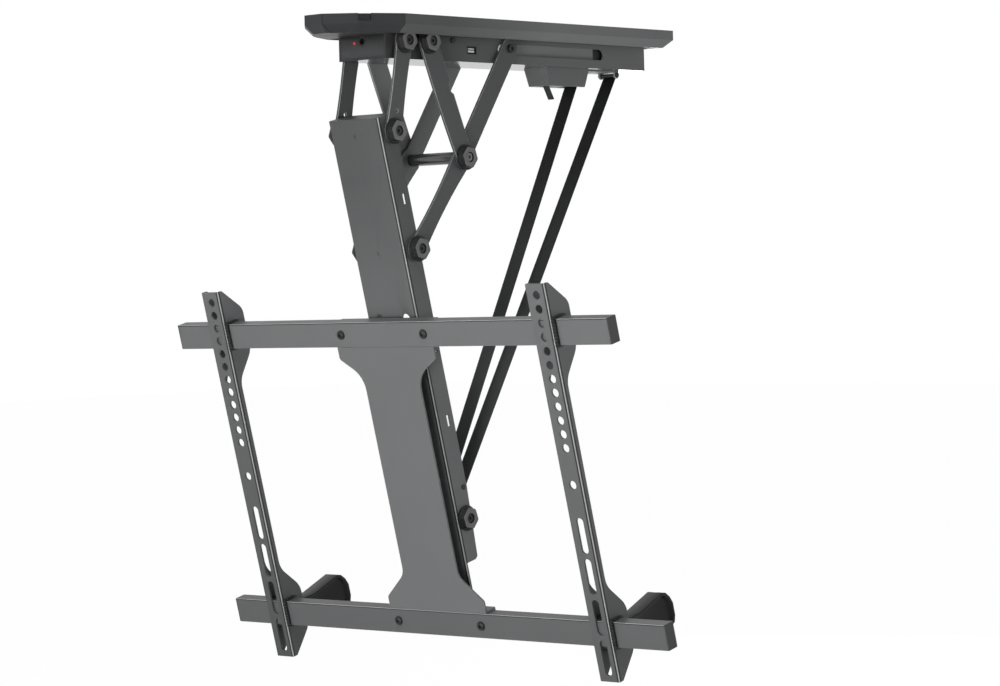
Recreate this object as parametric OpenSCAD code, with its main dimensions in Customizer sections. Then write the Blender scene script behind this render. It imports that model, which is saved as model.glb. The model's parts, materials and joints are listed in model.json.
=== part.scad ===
// Motorized ceiling mount that folds a flat screen up under the ceiling.
// Origin on the ceiling face at the canopy's centre, X across, Y to the back, Z up, in millimetres.

/* [Canopy] */
// Width of the canopy against the ceiling
canopy_w = 129; // [120:1:150]
// How far the canopy runs past the housing's rear end
canopy_tail = 18.5; // [10:0.5:30]
// Height of the canopy's upright band
canopy_band_h = 11; // [8:0.5:16]
// Height and inset of the sloped lower edge
canopy_slope = 9; // [5:0.5:12]
// Wall thickness of the canopy covers
canopy_wall = 2.5; // [1.5:0.1:4]
// Width of the blunt nose piece
nose_w = 26; // [20:1:40]
// Width across the canopy's cheeks
cheek_w = 79.6; // [72:0.1:95]
// Distance from the nose back to the cheeks
cheek_run = 27; // [20:1:32]
// Distance from the nose back to the full width
shoulder_run = 74.5; // [66:0.5:90]

/* [Ceiling plate] */
// Thickness of the ceiling plate
plate_t = 2.5; // [2:0.1:4]
// Distance of the ceiling plate's rear end ahead of the housing's rear end
plate_tail = 22.5; // [10:0.5:30]
// Spacing of the ceiling screws across the plate
ceiling_pitch_x = 94; // [88:1:96]
// Distance of the ceiling screws from the plate's front and rear ends
ceiling_edge = 16; // [12:0.5:40]
// Diameter of the ceiling screw holes
ceiling_hole_d = 8.5; // [6:0.5:10]

/* [Housing] */
// Outside width of the folded housing channel
housing_w = 70; // [66:1:74]
// Height of the housing below the ceiling
housing_h = 45.7; // [42:0.1:52]
// Length of the housing
housing_l = 437; // [410:1:450]
// Setback of the housing's front face from the canopy's nose
housing_front = 73.5; // [70:0.5:90]
// Sheet thickness of the housing
housing_t = 2.5; // [2:0.1:3]
// Height of the guide slot in each side
slot_h = 12.2; // [10:0.1:14]
// Distance of the guide slot's rear end ahead of the housing's rear end
slot_tail = 74; // [60:0.5:78]
// Drop of the slot's centre line below the ceiling
slot_drop = 29.9; // [29:0.1:32]
// Distance of the slot's front end ahead of the guide pin
slot_lead = 15; // [12:1:18]

/* [Pivots] */
// Front link pivot behind the housing's front face
front_pivot_setback = 25; // [20:0.5:30]
// Gap between the two fixed pivots
fixed_pivot_gap = 33.6; // [32:0.1:38]
// Drop of the fixed pivots below the ceiling
fixed_pivot_drop = 26; // [25:0.1:29]
// Guide pin at the top of the long link behind the front link pivot
slide_pin_run = 170; // [166:0.5:174]
// Drop of the guide pins below the ceiling
slide_pin_drop = 29; // [28:0.1:30]
// Crossing pivot of the links behind the front link pivot
mid_pivot_run = 87.4; // [82:0.1:92]
// Drop of the crossing pivot below the ceiling
mid_pivot_drop = 151.1; // [146:0.1:156]
// Lower column pivot behind the front link pivot
column_pivot_run = 11.4; // [8:0.1:16]
// Drop of the lower column pivot below the ceiling
column_pivot_drop = 250.2; // [246:0.1:254]
// Distance between the two column pivots
column_pivot_gap = 130; // [120:1:134]
// Diameter of the pivot bolts
bolt_d = 8; // [6:0.5:10]
// Diameter of the rod that joins the crossing pivots
cross_rod_d = 13.4; // [11:0.1:16]

/* [Links] */
// Sheet thickness of the links
link_t = 3; // [2:0.1:3.4]
// Width of the long link
long_link_w = 24; // [20:0.5:26]
// How far the long link's lower half is waisted on each side
long_link_waist = 3; // [0:0.1:4]
// Width of the front link at its pivots
front_link_w = 25; // [22:0.5:27]
// How far the front link is waisted on each side
front_link_waist = 2; // [0:0.1:4]
// Width of the middle link
middle_link_w = 27; // [24:0.5:28]
// Depth of the notch in the middle link's rear edge
middle_notch = 4.5; // [2:0.1:7]
// Diameter of the pivot caps at their base
cap_d = 28; // [24:0.5:29]
// Diameter of the pivot caps at their face
cap_face_d = 24; // [20:0.5:25]
// Height of the pivot caps
cap_h = 7.5; // [6.5:0.1:9]
// Diameter of the recess in each cap
cap_recess_d = 10.6; // [10:0.1:13]

/* [Column] */
// Lean of the column from upright when let down
lean = 14; // [10:1:16]
// Width of the column channel
column_w = 72.7; // [71.5:0.1:73]
// Depth of the column channel's flanges
column_depth = 25; // [22:0.5:26]
// Sheet thickness of the column
column_t = 2.5; // [2:0.1:3]
// Column front face behind the bars' front face
column_setback = 21.5; // [20:0.5:23]
// Reach of the column above its upper pivot
column_lip = 18.7; // [16:0.1:24]
// Bottom of the column flanges below the middle of the screen
flange_bottom = 102; // [90:1:110]
// Reach of the column's face below the middle of the lower bar
face_lip = 8.3; // [6:0.1:13]
// Upper column pivot above the middle of the screen
upper_pivot_h = 379.3; // [375:0.1:384]
// Pivots behind the bars' front face
pivot_setback = 39.5; // [38:0.1:41]
// Belt roller axle below the middle of the screen
roller_drop = 54; // [50:1:70]

/* [Screen frame] */
// Length of the two cross bars
bar_l = 638; // [600:1:660]
// Height of the cross bars
bar_h = 28; // [24:1:34]
// Depth of the cross bars
bar_d = 14; // [12:0.5:14]
// Wall of the cross bars
bar_wall = 1.8; // [1.2:0.1:2.5]
// Centre distance of the cross bars
bar_pitch = 329.4; // [315:0.1:345]
// Spacing of the screws in each bar
bar_screw_pitch = 123; // [110:1:130]
// Width of the cover plate at its ends
cover_plate_w = 143; // [134:1:150]
// Width of the cover plate's waist
cover_waist_w = 81; // [76:1:86]
// Sheet thickness of the cover plate
cover_plate_t = 2.5; // [2:0.1:2.7]

/* [Screen brackets] */
// Reach of the screen brackets beyond the middle of each bar
bracket_overhang = 52.3; // [46:0.1:60]
// Width of the screen brackets
bracket_w = 26; // [24:0.5:30]
// Sheet thickness of the screen brackets
bracket_t = 2.5; // [2:0.1:2.7]
// Centre of the left bracket from the bars' left end
left_bracket_inset = 66; // [40:1:110]
// Centre of the right bracket from the bars' right end
right_bracket_inset = 85; // [40:1:110]
// Depth of the bracket's side lobes behind the bars' front face
lobe_d = 30; // [27:1:36]
// Diameter of the round screen holes
screen_hole_d = 9.5; // [6.5:0.1:10]
// Spacing of the round screen holes
screen_hole_pitch = 15; // [13:0.5:16]
// Length of the slotted screen holes
screen_slot_l = 39.5; // [30:0.1:40]
// Spacing of the slotted screen holes
screen_slot_pitch = 45; // [41:0.5:45]
// Reach of the ceiling feet behind the bars' front face
foot_reach = 109; // [95:1:110]

/* [Drive] */
// Width of the lifting belt
belt_w = 18; // [14:1:20]
// Thickness of the lifting belt
belt_t = 1.6; // [1:0.1:2.2]
// Width of the switch shroud
shroud_w = 34; // [30:1:38]
// Length of the switch shroud
shroud_l = 75; // [68:1:80]
// Height of the switch shroud
shroud_h = 20; // [15:0.5:22]
// Rear end of the switch shroud ahead of the housing's rear end
shroud_tail = 79.5; // [76:0.5:86]
// Belt anchor pin ahead of the housing's rear end
anchor_tail = 24; // [16:0.5:32]
// Diameter of the gear motor
motor_d = 28; // [22:1:28]
// Length of the gear motor
motor_l = 92; // [60:1:100]

/* [Hidden] */
$fn = 48;
// Small clearance between pieces that fit together
fit_gap = 0.3;
// Running clearance of a bolt in a link, on the radius
run_gap = 0.05;
// Overrun of cuts
cut = 1;
// Thin visible seam between the canopy covers
seam = 0.5;
canopy_l = housing_front + housing_l + canopy_tail;
bracket_l = bar_pitch + 2 * bracket_overhang;

function unit(v) = v / norm(v);
function lerp(a, b, t) = a + (b - a) * t;
function turn(v, a) = [v[0] * cos(a) - v[1] * sin(a), v[0] * sin(a) + v[1] * cos(a)];
// Moves every side of a counter-clockwise outline inwards by i
function inset(pts, i) = let (n = len(pts)) [for (k = [0:n - 1])
    let (u = unit(pts[k] - pts[(k + n - 1) % n]), v = unit(pts[(k + 1) % n] - pts[k]))
    pts[k] + [-u[1] - v[1], u[0] + v[0]] * i / (1 + u * v)];
// Half outline mirrored about the Y axis, given from front to back on the +X side
function mirrored(half) = concat(half, [for (k = [len(half) - 1:-1:0]) [-half[k][0], half[k][1]]]);

// Outline with each corner k rounded by the radius r[k], as an arc of a few steps
function rounded(pts, r, steps = 6) = let (n = len(pts)) [for (k = [0:n - 1])
    let (p = pts[k], u = unit(pts[(k + n - 1) % n] - p), v = unit(pts[(k + 1) % n] - p),
        half = acos(u * v) / 2, centre = p + unit(u + v) * r[k] / sin(half),
        a = p + u * r[k] / tan(half) - centre, b = p + v * r[k] / tan(half) - centre, w = 180 - 2 * half)
    for (t = r[k] > 0 ? [0:1 / steps:1] : [0])
        r[k] > 0 ? centre + (a * sin((1 - t) * w) + b * sin(t * w)) / sin(w) : p];

nose_y = -canopy_l / 2;
shoulder_y = nose_y + shoulder_run;
canopy_h = canopy_band_h + canopy_slope;
housing_y = nose_y + housing_front;
housing_rear_y = housing_y + housing_l;
front_pivot_y = housing_y + front_pivot_setback;
slide_pin_y = front_pivot_y + slide_pin_run;
shroud_rear_y = housing_rear_y - shroud_tail;
anchor_y = housing_rear_y - anchor_tail;
// Fixed pivots, guide pin, crossing pivot and column pivots in the side plane, as [y, z]
front_pivot = [front_pivot_y, -fixed_pivot_drop];
rear_pivot = [front_pivot_y + fixed_pivot_gap, -fixed_pivot_drop];
slide_pin = [slide_pin_y, -slide_pin_drop];
mid_pivot = [front_pivot_y + mid_pivot_run, -mid_pivot_drop];
low_pivot = [front_pivot_y + column_pivot_run, -column_pivot_drop];
high_pivot = low_pivot + turn([0, column_pivot_gap], lean);
lower_pivot_h = upper_pivot_h - column_pivot_gap;
roller_h = -roller_drop;
roller_setback = pivot_setback - bolt_d / 2;
// Point of the column's own frame, as [depth, height], in the side plane
function on_col(d, h) = low_pivot + turn([d - pivot_setback, h - lower_pivot_h], lean);
roller_axle = on_col(roller_setback, roller_h);

// Layers across the width, from the housing out
housing_x = housing_w / 2;
column_x = column_w / 2;
inner_link_x = column_x + 0.25 * link_t;
outer_link_x = inner_link_x + link_t + link_t / 6;
inner_cap_x = inner_link_x + link_t + fit_gap / 3;
outer_cap_x = outer_link_x + link_t + fit_gap / 3;
column_cap_x = column_x + fit_gap / 3;
cap_floor_h = cap_h / 3;
bolt_head_d = cap_recess_d - 4 * fit_gap;
bolt_head_h = cap_h / 2;
socket_d = bolt_d / 2;

// The cheek's rear corner, as a share of the growth in width and of the way back to the cheeks
cheek_w_share = 0.33;
cheek_run_share = 1.48;
canopy_outline = mirrored([[nose_w / 2, nose_y], [cheek_w / 2, nose_y + cheek_run],
    [lerp(cheek_w, canopy_w, cheek_w_share) / 2, nose_y + cheek_run * cheek_run_share],
    [canopy_w / 2, shoulder_y], [canopy_w / 2, canopy_l / 2]]);
slot_y = slide_pin_y - slot_lead;
slot_l = housing_rear_y - slot_tail - slot_y;

steel_grey = [0.36, 0.37, 0.37];
black_plastic = [0.1, 0.1, 0.11];
bolt_black = [0.07, 0.07, 0.07];
belt_black = [0.13, 0.14, 0.14];
motor_dark = [0.22, 0.22, 0.23];
zinc = [0.7, 0.71, 0.72];

// Draws the children on both sides of the middle
module both() { children(); mirror([1, 0, 0]) children(); }
// Extrudes a side-plane outline along X from x to x + t
module side_plate(x, t) translate([x, 0, 0]) rotate([90, 0, 90]) linear_extrude(t) children();
// Cylinder along X, from x over length l, at a side-plane point
module pin_x(p, x, l, r, sides = 48)
    translate([x, p[0], p[1]]) rotate([0, 90, 0]) cylinder(h = l, r = r, $fn = sides);
// Puts children, drawn in the column's own frame, where the column stands
module on_column()
    translate([0, low_pivot[0], low_pivot[1]]) rotate([lean, 0, 0])
        translate([0, -pivot_setback, -lower_pivot_h]) children();
// Box from its lowest corner to its highest
module box(a, b) translate(a) cube(b - a);

// Pivot cap with a round base, a six-sided sloped front and a recess for the bolt's head
module cap(p, x) {
    base_h = cap_h * 0.4;
    translate([x, p[0], p[1]]) rotate([0, 90, 0]) difference() {
        union() {
            cylinder(h = base_h, r = cap_d / 2);
            intersection() {
                cylinder(h = cap_h, r1 = cap_d / 2, r2 = cap_face_d / 2);
                cylinder(h = cap_h, r = cap_d * 0.53, $fn = 6);
            }
        }
        translate([0, 0, cap_floor_h]) cylinder(h = cap_h, r = cap_recess_d / 2);
        translate([0, 0, -cut]) cylinder(h = cap_h, r = bolt_d / 2 + run_gap);
    }
}
// Bolt along X from x_in to the cap's floor, with a socket head in the cap's recess
module pivot_bolt(p, x_in, x_cap) {
    floor_x = x_cap + cap_floor_h + run_gap;
    difference() {
        union() {
            pin_x(p, x_in, floor_x - x_in + bolt_head_h / 2, bolt_d / 2);
            pin_x(p, floor_x, bolt_head_h, bolt_head_d / 2);
        }
        pin_x(p, floor_x + bolt_head_h / 2, bolt_head_h, socket_d / 2 + run_gap, 6);
    }
}
// Outline of a link between two side-plane points, with its edges drawn in by bow_l and bow_r.
// It is a hair narrower than the round ends, so that its corners lie inside them.
edge_inset = 0.15;
edge_steps = 12;
function link_edge(p, q, wp, wq, bow, side) =
    let (u = unit(q - p), v = [-u[1], u[0]] * side, steps = bow == 0 ? 1 : edge_steps)
    [for (k = [0:steps]) let (t = k / steps)
        lerp(p, q, t) + v * (lerp(wp, wq, t) / 2 - edge_inset - bow * 4 * t * (1 - t))];
module link_shape(p, q, wp, wq, bow_l, bow_r) {
    left_edge = link_edge(p, q, wp, wq, bow_l, 1);
    right_edge = link_edge(p, q, wp, wq, bow_r, -1);
    polygon(concat(left_edge, [for (k = [len(right_edge) - 1:-1:0]) right_edge[k]]));
}

// Housing and covers

plate_w = canopy_w - 2 * canopy_wall - 2 * fit_gap;
plate_y = housing_y + canopy_wall;
plate_l = housing_rear_y - plate_tail - plate_y;
plate_mid_y = plate_y + plate_l / 2;
ceiling_pitch_y = plate_l - 2 * ceiling_edge;
module ceiling_plate() color(zinc) difference() {
    box([-plate_w / 2, plate_y, -plate_t], [plate_w / 2, plate_y + plate_l, 0]);
    for (x = [-1, 1], y = [-1, 1])
        translate([x * ceiling_pitch_x / 2, plate_mid_y + y * ceiling_pitch_y / 2, -plate_t - cut])
            cylinder(h = plate_t + 2 * cut, r = ceiling_hole_d / 2);
}
// Whole canopy shell before it is split into covers
module canopy_shell() {
    difference() {
        hull() {
            translate([0, 0, -canopy_band_h]) linear_extrude(canopy_band_h) polygon(canopy_outline);
            translate([0, 0, -canopy_h]) linear_extrude(canopy_h)
                polygon(inset(canopy_outline, canopy_slope));
        }
        hull() {
            translate([0, 0, -canopy_band_h]) linear_extrude(canopy_band_h + cut)
                polygon(inset(canopy_outline, canopy_wall));
            translate([0, 0, canopy_wall - canopy_h]) linear_extrude(canopy_h)
                polygon(inset(canopy_outline, canopy_slope + canopy_wall / 2));
        }
        link_room();
    }
}
// Opening in the canopy's underside for the housing and the links beside it
link_room_x = outer_cap_x + cap_h + cut;
module link_room()
    box([-link_room_x, housing_y - fit_gap, -canopy_h - cut],
        [link_room_x, housing_rear_y + fit_gap, cut]);
module nose_zone(gap)
    box([-nose_w / 2 - gap, nose_y - cut, -canopy_h - cut],
        [nose_w / 2 + gap, housing_y - 2 * canopy_wall + gap, cut]);
notch_face = canopy_outline[2] - canopy_outline[1];
cable_notch_l = 0.9 * norm(notch_face);
cable_notch_h = canopy_band_h * 0.72;
// Puts children at the canopy's face between its cheek and its next corner, X along it, Y inwards
module at_notch() translate((canopy_outline[1] + canopy_outline[2]) / 2)
    rotate([0, 0, atan2(notch_face[1], notch_face[0])]) children();
module cable_notch() at_notch()
    box([-cable_notch_l / 2, -2 * canopy_wall, -cable_notch_h], [cable_notch_l / 2, 2 * canopy_wall, cut]);
plug_setback = canopy_wall * 0.6;
module cable_plugs() color(bolt_black) both() at_notch()
    box([-cable_notch_l / 2 + fit_gap, plug_setback, fit_gap - cable_notch_h],
        [cable_notch_l / 2 - fit_gap, plug_setback + canopy_wall, -fit_gap]);
module nose_cover() color(black_plastic) intersection() {
    canopy_shell();
    nose_zone(-seam / 2);
}
module front_cover() color(steel_grey) difference() {
    intersection() {
        canopy_shell();
        box([-canopy_w, nose_y - cut, -canopy_h - cut], [canopy_w, shoulder_y - seam / 2, cut]);
    }
    nose_zone(seam / 2);
    both() cable_notch();
}
module rear_cover() color(steel_grey) intersection() {
    canopy_shell();
    box([-canopy_w, shoulder_y + seam / 2, -canopy_h - cut], [canopy_w, canopy_l, cut]);
}
usb_w = 16;
usb_h = 8.5;
usb_run = 112;
usb_drop = 32.7;
usb_at = [front_pivot_y + usb_run, -usb_drop];
jack_d = 11;
jack_x = -0.6;
jack_drop = 25.5;
jack_at = [jack_x, -jack_drop];
led_d = 3;
led_x = -12;
led_drop = 27.2;
led_at = [led_x, -led_drop];
belt_window = belt_w + 4 * belt_t;
module housing_channel() color(steel_grey) difference() {
    box([-housing_x, housing_y, -housing_h], [housing_x, housing_rear_y, -plate_t]);
    box([-housing_x + housing_t, housing_y - cut, -housing_h + housing_t],
        [housing_x - housing_t, housing_rear_y + cut, 0]);
    both() guide_slot();
    both() for (p = [front_pivot, rear_pivot])
        pin_x(p, housing_x - housing_t - cut, housing_t + 2 * cut, bolt_d / 2 + run_gap);
    both() pin_x(screw_at, housing_x - housing_t - cut, housing_t + 2 * cut, screw_d / 2);
    box([housing_x - housing_t - cut, usb_at[0] - usb_w / 2, usb_at[1] - usb_h / 2],
        [housing_x + cut, usb_at[0] + usb_w / 2, usb_at[1] + usb_h / 2]);
    box([-belt_window / 2, shroud_rear_y - shroud_l + 2 * shroud_wall, -housing_h - cut],
        [belt_window / 2, shroud_rear_y - shroud_wall, -housing_h + housing_t + cut]);
}
module guide_slot() hull_slot(housing_x - housing_t - cut, housing_t + 2 * cut,
    slot_y + slot_h / 2, slot_y + slot_l - slot_h / 2, -slot_drop, slot_h / 2);
// Round-ended slot along Y, cut through from x over length l
module hull_slot(x, l, y_a, y_b, z, r) {
    pin_x([y_a, z], x, l, r);
    pin_x([y_b, z], x, l, r);
    box([x, y_a, z - r], [x + l, y_b, z + r]);
}
// Plastic rails behind the guide slots, with a lip above and below each block
rail_t = 1.5;
rail_x = housing_x - housing_t - 2 * rail_t;
module guide_rails() color(motor_dark) both() {
    low_z = -housing_h + housing_t;
    rail_y = slot_y - rail_t;
    rail_end = slot_y + slot_l + rail_t;
    box([rail_x, rail_y, low_z], [rail_x + rail_t, rail_end, -plate_t]);
    for (s = [-1, 1]) mirror([0, 0, s < 0 ? 1 : 0]) {
        z = s < 0 ? slot_drop : -slot_drop;
        box([rail_x, rail_y, z + slot_h / 2 + fit_gap],
            [rail_x + 2 * rail_t, rail_end, z + slot_h / 2 + rail_t]);
    }
}
screw_d = 4;
screw_run = 80.6;
screw_drop = 23;
screw_at = [front_pivot_y + screw_run, -screw_drop];
module front_panel() color(black_plastic) difference() {
    box([-housing_x + housing_t + run_gap, housing_y + fit_gap, -housing_h + housing_t + run_gap],
        [housing_x - housing_t - run_gap, housing_y + fit_gap + housing_t, -plate_t - run_gap]);
    for (s = [[jack_at, jack_d], [led_at, led_d]])
        translate([s[0][0], housing_y - cut, s[0][1]]) rotate([-90, 0, 0])
            cylinder(h = housing_t + 3 * cut, r = s[1] / 2);
}
module rear_panel() color(black_plastic)
    box([-housing_x + housing_t + run_gap, housing_rear_y - fit_gap - housing_t,
        -housing_h + housing_t + run_gap],
        [housing_x - housing_t - run_gap, housing_rear_y - fit_gap, -plate_t - run_gap]);
jack_l = 14;
jack_bore_d = 6.4;
module dc_jack() color(bolt_black) translate([jack_at[0], housing_y + fit_gap, jack_at[1]])
    rotate([-90, 0, 0]) difference() {
        union() {
            cylinder(h = jack_l, r = jack_d / 2 - run_gap);
            translate([0, 0, housing_t + run_gap]) cylinder(h = jack_l / 4, r = jack_d * 0.62);
        }
        translate([0, 0, -cut]) cylinder(h = jack_l * 0.7 + cut, r = jack_bore_d / 2);
    }
module power_led() color([0.85, 0.1, 0.1]) translate([led_at[0], housing_y + fit_gap, led_at[1]])
    rotate([-90, 0, 0]) cylinder(h = 2 * housing_t, r = led_d / 2 - run_gap);
usb_wall = 0.9;
usb_l = 14;
module usb_port() color(zinc) difference() {
    box([housing_x - usb_l, usb_at[0] - usb_w / 2 + fit_gap / 3, usb_at[1] - usb_h / 2 + fit_gap / 3],
        [housing_x - fit_gap, usb_at[0] + usb_w / 2 - fit_gap / 3, usb_at[1] + usb_h / 2 - fit_gap / 3]);
    box([housing_x - usb_l + usb_wall, usb_at[0] - usb_w / 2 + usb_wall + fit_gap,
        usb_at[1] - usb_h / 2 + usb_wall + fit_gap],
        [housing_x + cut, usb_at[0] + usb_w / 2 - usb_wall - fit_gap,
        usb_at[1] + usb_h / 2 - usb_wall - fit_gap]);
}
board_t = 1.6;
board_l = 88;
board_w = 36;
board_gap = 2;
module control_board() color([0.1, 0.35, 0.2]) {
    top_z = -housing_h + housing_t + board_gap + board_t;
    board_y = housing_y + 2 * jack_l;
    box([-board_w / 2, board_y, top_z - board_t], [board_w / 2, board_y + board_l, top_z]);
    for (x = [-1, 1], y = [0, 1])
        translate([x * (board_w / 2 - 2 * board_gap),
            board_y + lerp(2 * board_gap, board_l - 2 * board_gap, y),
            -housing_h + housing_t]) cylinder(h = board_gap, r = board_gap);
    box([-board_w / 6, board_y + board_l / 4, top_z],
        [board_w / 6, board_y + board_l / 2, top_z + 5 * board_t]);
}
module housing_screws() color(bolt_black) both() {
    pin_x(screw_at, housing_x - 2 * housing_t, 2 * housing_t, screw_d / 2 - run_gap);
    pin_x(screw_at, housing_x, screw_d / 2, screw_d * 0.8);
}

// Drive inside the housing

drum_r = 9;
// Space beside the belt on its drum, roller and anchor
belt_side = 1;
drum_w = belt_w + 2 * belt_side;
winding_t = 3 * belt_t;
flange_r = drum_r + winding_t + belt_t;
shaft_d = 8;
drum_setback = 6;
drum_gap = 2;
drum_at = [shroud_rear_y + drum_setback, -plate_t - flange_r - drum_gap];
gearbox_w = 17;
gearbox_x = drum_w / 2 + drum_gap;
gearbox_l = 2 * flange_r;
motor_inset = 2;
module gear_motor() color(motor_dark) difference() {
    union() {
        box([gearbox_x, drum_at[0] - gearbox_l / 2, -housing_h + housing_t],
            [gearbox_x + gearbox_w, drum_at[0] + gearbox_l / 2, -plate_t]);
        translate([gearbox_x + gearbox_w - motor_d / 2 - motor_inset, drum_at[0] - gearbox_l / 2,
            -housing_h + housing_t + motor_d / 2])
            rotate([90, 0, 0]) cylinder(h = motor_l, r = motor_d / 2);
    }
    pin_x(drum_at, gearbox_x - cut, gearbox_w + 2 * cut, shaft_d / 2 + run_gap);
}
bearing_x = -drum_w / 2 - drum_gap;
bearing_t = 6;
module bearing_bracket() color(zinc) difference() {
    box([bearing_x - bearing_t, drum_at[0] - shaft_d, -housing_h + housing_t],
        [bearing_x, drum_at[0] + shaft_d, -plate_t]);
    pin_x(drum_at, bearing_x - bearing_t - cut, bearing_t + 2 * cut, shaft_d / 2 + run_gap);
}
module drum_shaft() color(zinc)
    pin_x(drum_at, bearing_x - bearing_t, gearbox_x + gearbox_w * 0.8 - bearing_x + bearing_t, shaft_d / 2);
module belt_drum() color([0.3, 0.3, 0.32]) difference() {
    union() {
        pin_x(drum_at, -drum_w / 2, drum_w, drum_r);
        for (x = [-drum_w / 2 - belt_t, drum_w / 2]) pin_x(drum_at, x, belt_t, flange_r);
    }
    pin_x(drum_at, -drum_w, 2 * drum_w, shaft_d / 2 + run_gap / 5);
}
module belt_winding() color(belt_black) difference() {
    pin_x(drum_at, -belt_w / 2, belt_w, drum_r + winding_t);
    pin_x(drum_at, -drum_w, 2 * drum_w, drum_r + run_gap / 5);
}
shroud_wall = 2;
shroud_draft = 2.5;
shroud_front_y = shroud_rear_y - shroud_l;
shroud_z = -housing_h;
// Shroud outline at its top, drawn in by i
module shroud_slab(i, z, h) translate([0, 0, z]) linear_extrude(h)
    translate([-shroud_w / 2 + i, shroud_front_y + 2 * i]) square([shroud_w - 2 * i, shroud_l - 4 * i]);
skin = 0.1;
belt_exit_l = 14;
module switch_shroud() color(steel_grey) difference() {
    hull() {
        shroud_slab(0, shroud_z - skin, skin);
        shroud_slab(shroud_draft, shroud_z - shroud_h, skin);
    }
    hull() {
        shroud_slab(shroud_wall, shroud_z - skin, skin + cut);
        shroud_slab(shroud_draft + shroud_wall, shroud_z - shroud_h + shroud_wall, skin);
    }
    box([-belt_w / 2 - belt_t, shroud_rear_y - 2 * belt_exit_l, shroud_z - shroud_h - cut],
        [belt_w / 2 + belt_t, shroud_rear_y + cut, shroud_z - shroud_h * 0.35]);
    box([-lever_w / 2 - belt_t, lever_at[0] - lever_w, shroud_z - shroud_h - cut],
        [lever_w / 2 + belt_t, lever_at[0] + lever_w, shroud_z - shroud_h + 2 * shroud_wall]);
}
// Fixed pin that the belt turns over where it leaves the shroud
belt_guide_d = 6;
belt_guide_at = [shroud_rear_y - belt_exit_l * 0.9, shroud_z - shroud_h * 0.5];
module belt_guide() color(zinc) {
    foot_share = (shroud_z - belt_guide_at[1] + belt_guide_d / 2) / (shroud_h - shroud_wall);
    half = shroud_w / 2 - shroud_wall - shroud_draft * foot_share - run_gap;
    pin_x(belt_guide_at, -half, 2 * half, belt_guide_d / 2);
}
lever_w = 8;
lever_t = 1.6;
lever_l = 21;
lever_angle = 60;
lever_run = 16.5;
lever_at = [shroud_front_y + lever_run, shroud_z - shroud_h + 2 * lever_t];
module limit_switch() color(bolt_black) difference() {
    box([-lever_w / 2 - 3 * belt_t, lever_at[0] - lever_w, shroud_z - shroud_h + 2.5 * shroud_wall],
        [lever_w / 2 + 3 * belt_t, lever_at[0] + 2 * lever_w, shroud_z]);
    pin_x(lever_at, -lever_w, 2 * lever_w, lever_t + 2 * fit_gap);
}
module limit_lever() color(bolt_black) {
    pin_x(lever_at, -lever_w * 0.6, lever_w * 1.2, lever_t);
    translate([-lever_w / 2, lever_at[0], lever_at[1]]) rotate([-lever_angle, 0, 0])
        translate([0, -lever_t / 3, -lever_t / 2]) cube([lever_w, lever_l, lever_t]);
}
pin_d = 4.4;
lug_d = 8;
anchor_at = [anchor_y, -housing_h - lug_d / 2 - fit_gap];
anchor_plate_t = 1.5;
lug_x = belt_w / 2 + belt_side;
anchor_gap = 1;
lug_t = 2.5;
module belt_anchor() color(steel_grey) {
    strap_w = 2 * (lug_x + lug_t);
    difference() {
        union() {
            box([-strap_w / 2, shroud_rear_y + anchor_gap, -housing_h - anchor_plate_t],
                [strap_w / 2, anchor_y + lug_d / 2, -housing_h]);
            both() {
                pin_x(anchor_at, lug_x, lug_t, lug_d / 2);
                box([lug_x, anchor_y - lug_d / 2, anchor_at[1]],
                    [lug_x + lug_t, anchor_y + lug_d / 2, -housing_h]);
            }
        }
        pin_x(anchor_at, -belt_w, 2 * belt_w, pin_d / 2 + run_gap / 5);
    }
}
module anchor_pin() color(bolt_black) {
    pin_x(anchor_at, -lug_x - lug_t, 2 * (lug_x + lug_t), pin_d / 2);
    both() pin_x(anchor_at, lug_x + lug_t, anchor_plate_t, pin_d * 0.58);
}

// Fixed pivots

module fixed_pivot_bolts() color(bolt_black) both() {
    pivot_bolt(front_pivot, housing_x - housing_t - bolt_d / 2, inner_cap_x);
    pivot_bolt(rear_pivot, housing_x - housing_t - bolt_d / 2, outer_cap_x);
}
module fixed_pivot_caps() color(black_plastic) both() {
    cap(front_pivot, inner_cap_x);
    cap(rear_pivot, outer_cap_x);
}
module washer(p, x, l) difference() {
    pin_x(p, x, l, bolt_d);
    pin_x(p, x - cut, l + 2 * cut, bolt_d / 2 + run_gap);
}
module pivot_washers() color(black_plastic) both() {
    washer(front_pivot, housing_x, inner_link_x - housing_x - fit_gap / 3);
    washer(rear_pivot, housing_x, outer_link_x - housing_x - fit_gap / 3);
}

// Links

module link_holes(points, x) for (p = points)
    pin_x(p, x - cut, link_t + 2 * cut, bolt_d / 2 + run_gap);
module front_links() color(steel_grey) both() difference() {
    union() {
        for (p = [front_pivot, high_pivot]) pin_x(p, inner_link_x, link_t, front_link_w / 2);
        side_plate(inner_link_x, link_t) link_shape(front_pivot, high_pivot, front_link_w, front_link_w,
            front_link_waist, front_link_waist);
    }
    link_holes([front_pivot, high_pivot], inner_link_x);
    pin_x(lerp(high_pivot, front_pivot, 0.22), inner_link_x - cut, link_t + 2 * cut, bolt_d / 4);
}
module front_link_bolts() color(bolt_black) both()
    pivot_bolt(high_pivot, inner_link_x + run_gap, inner_cap_x);
module front_link_caps() color(black_plastic) both() cap(high_pivot, inner_cap_x);

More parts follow.
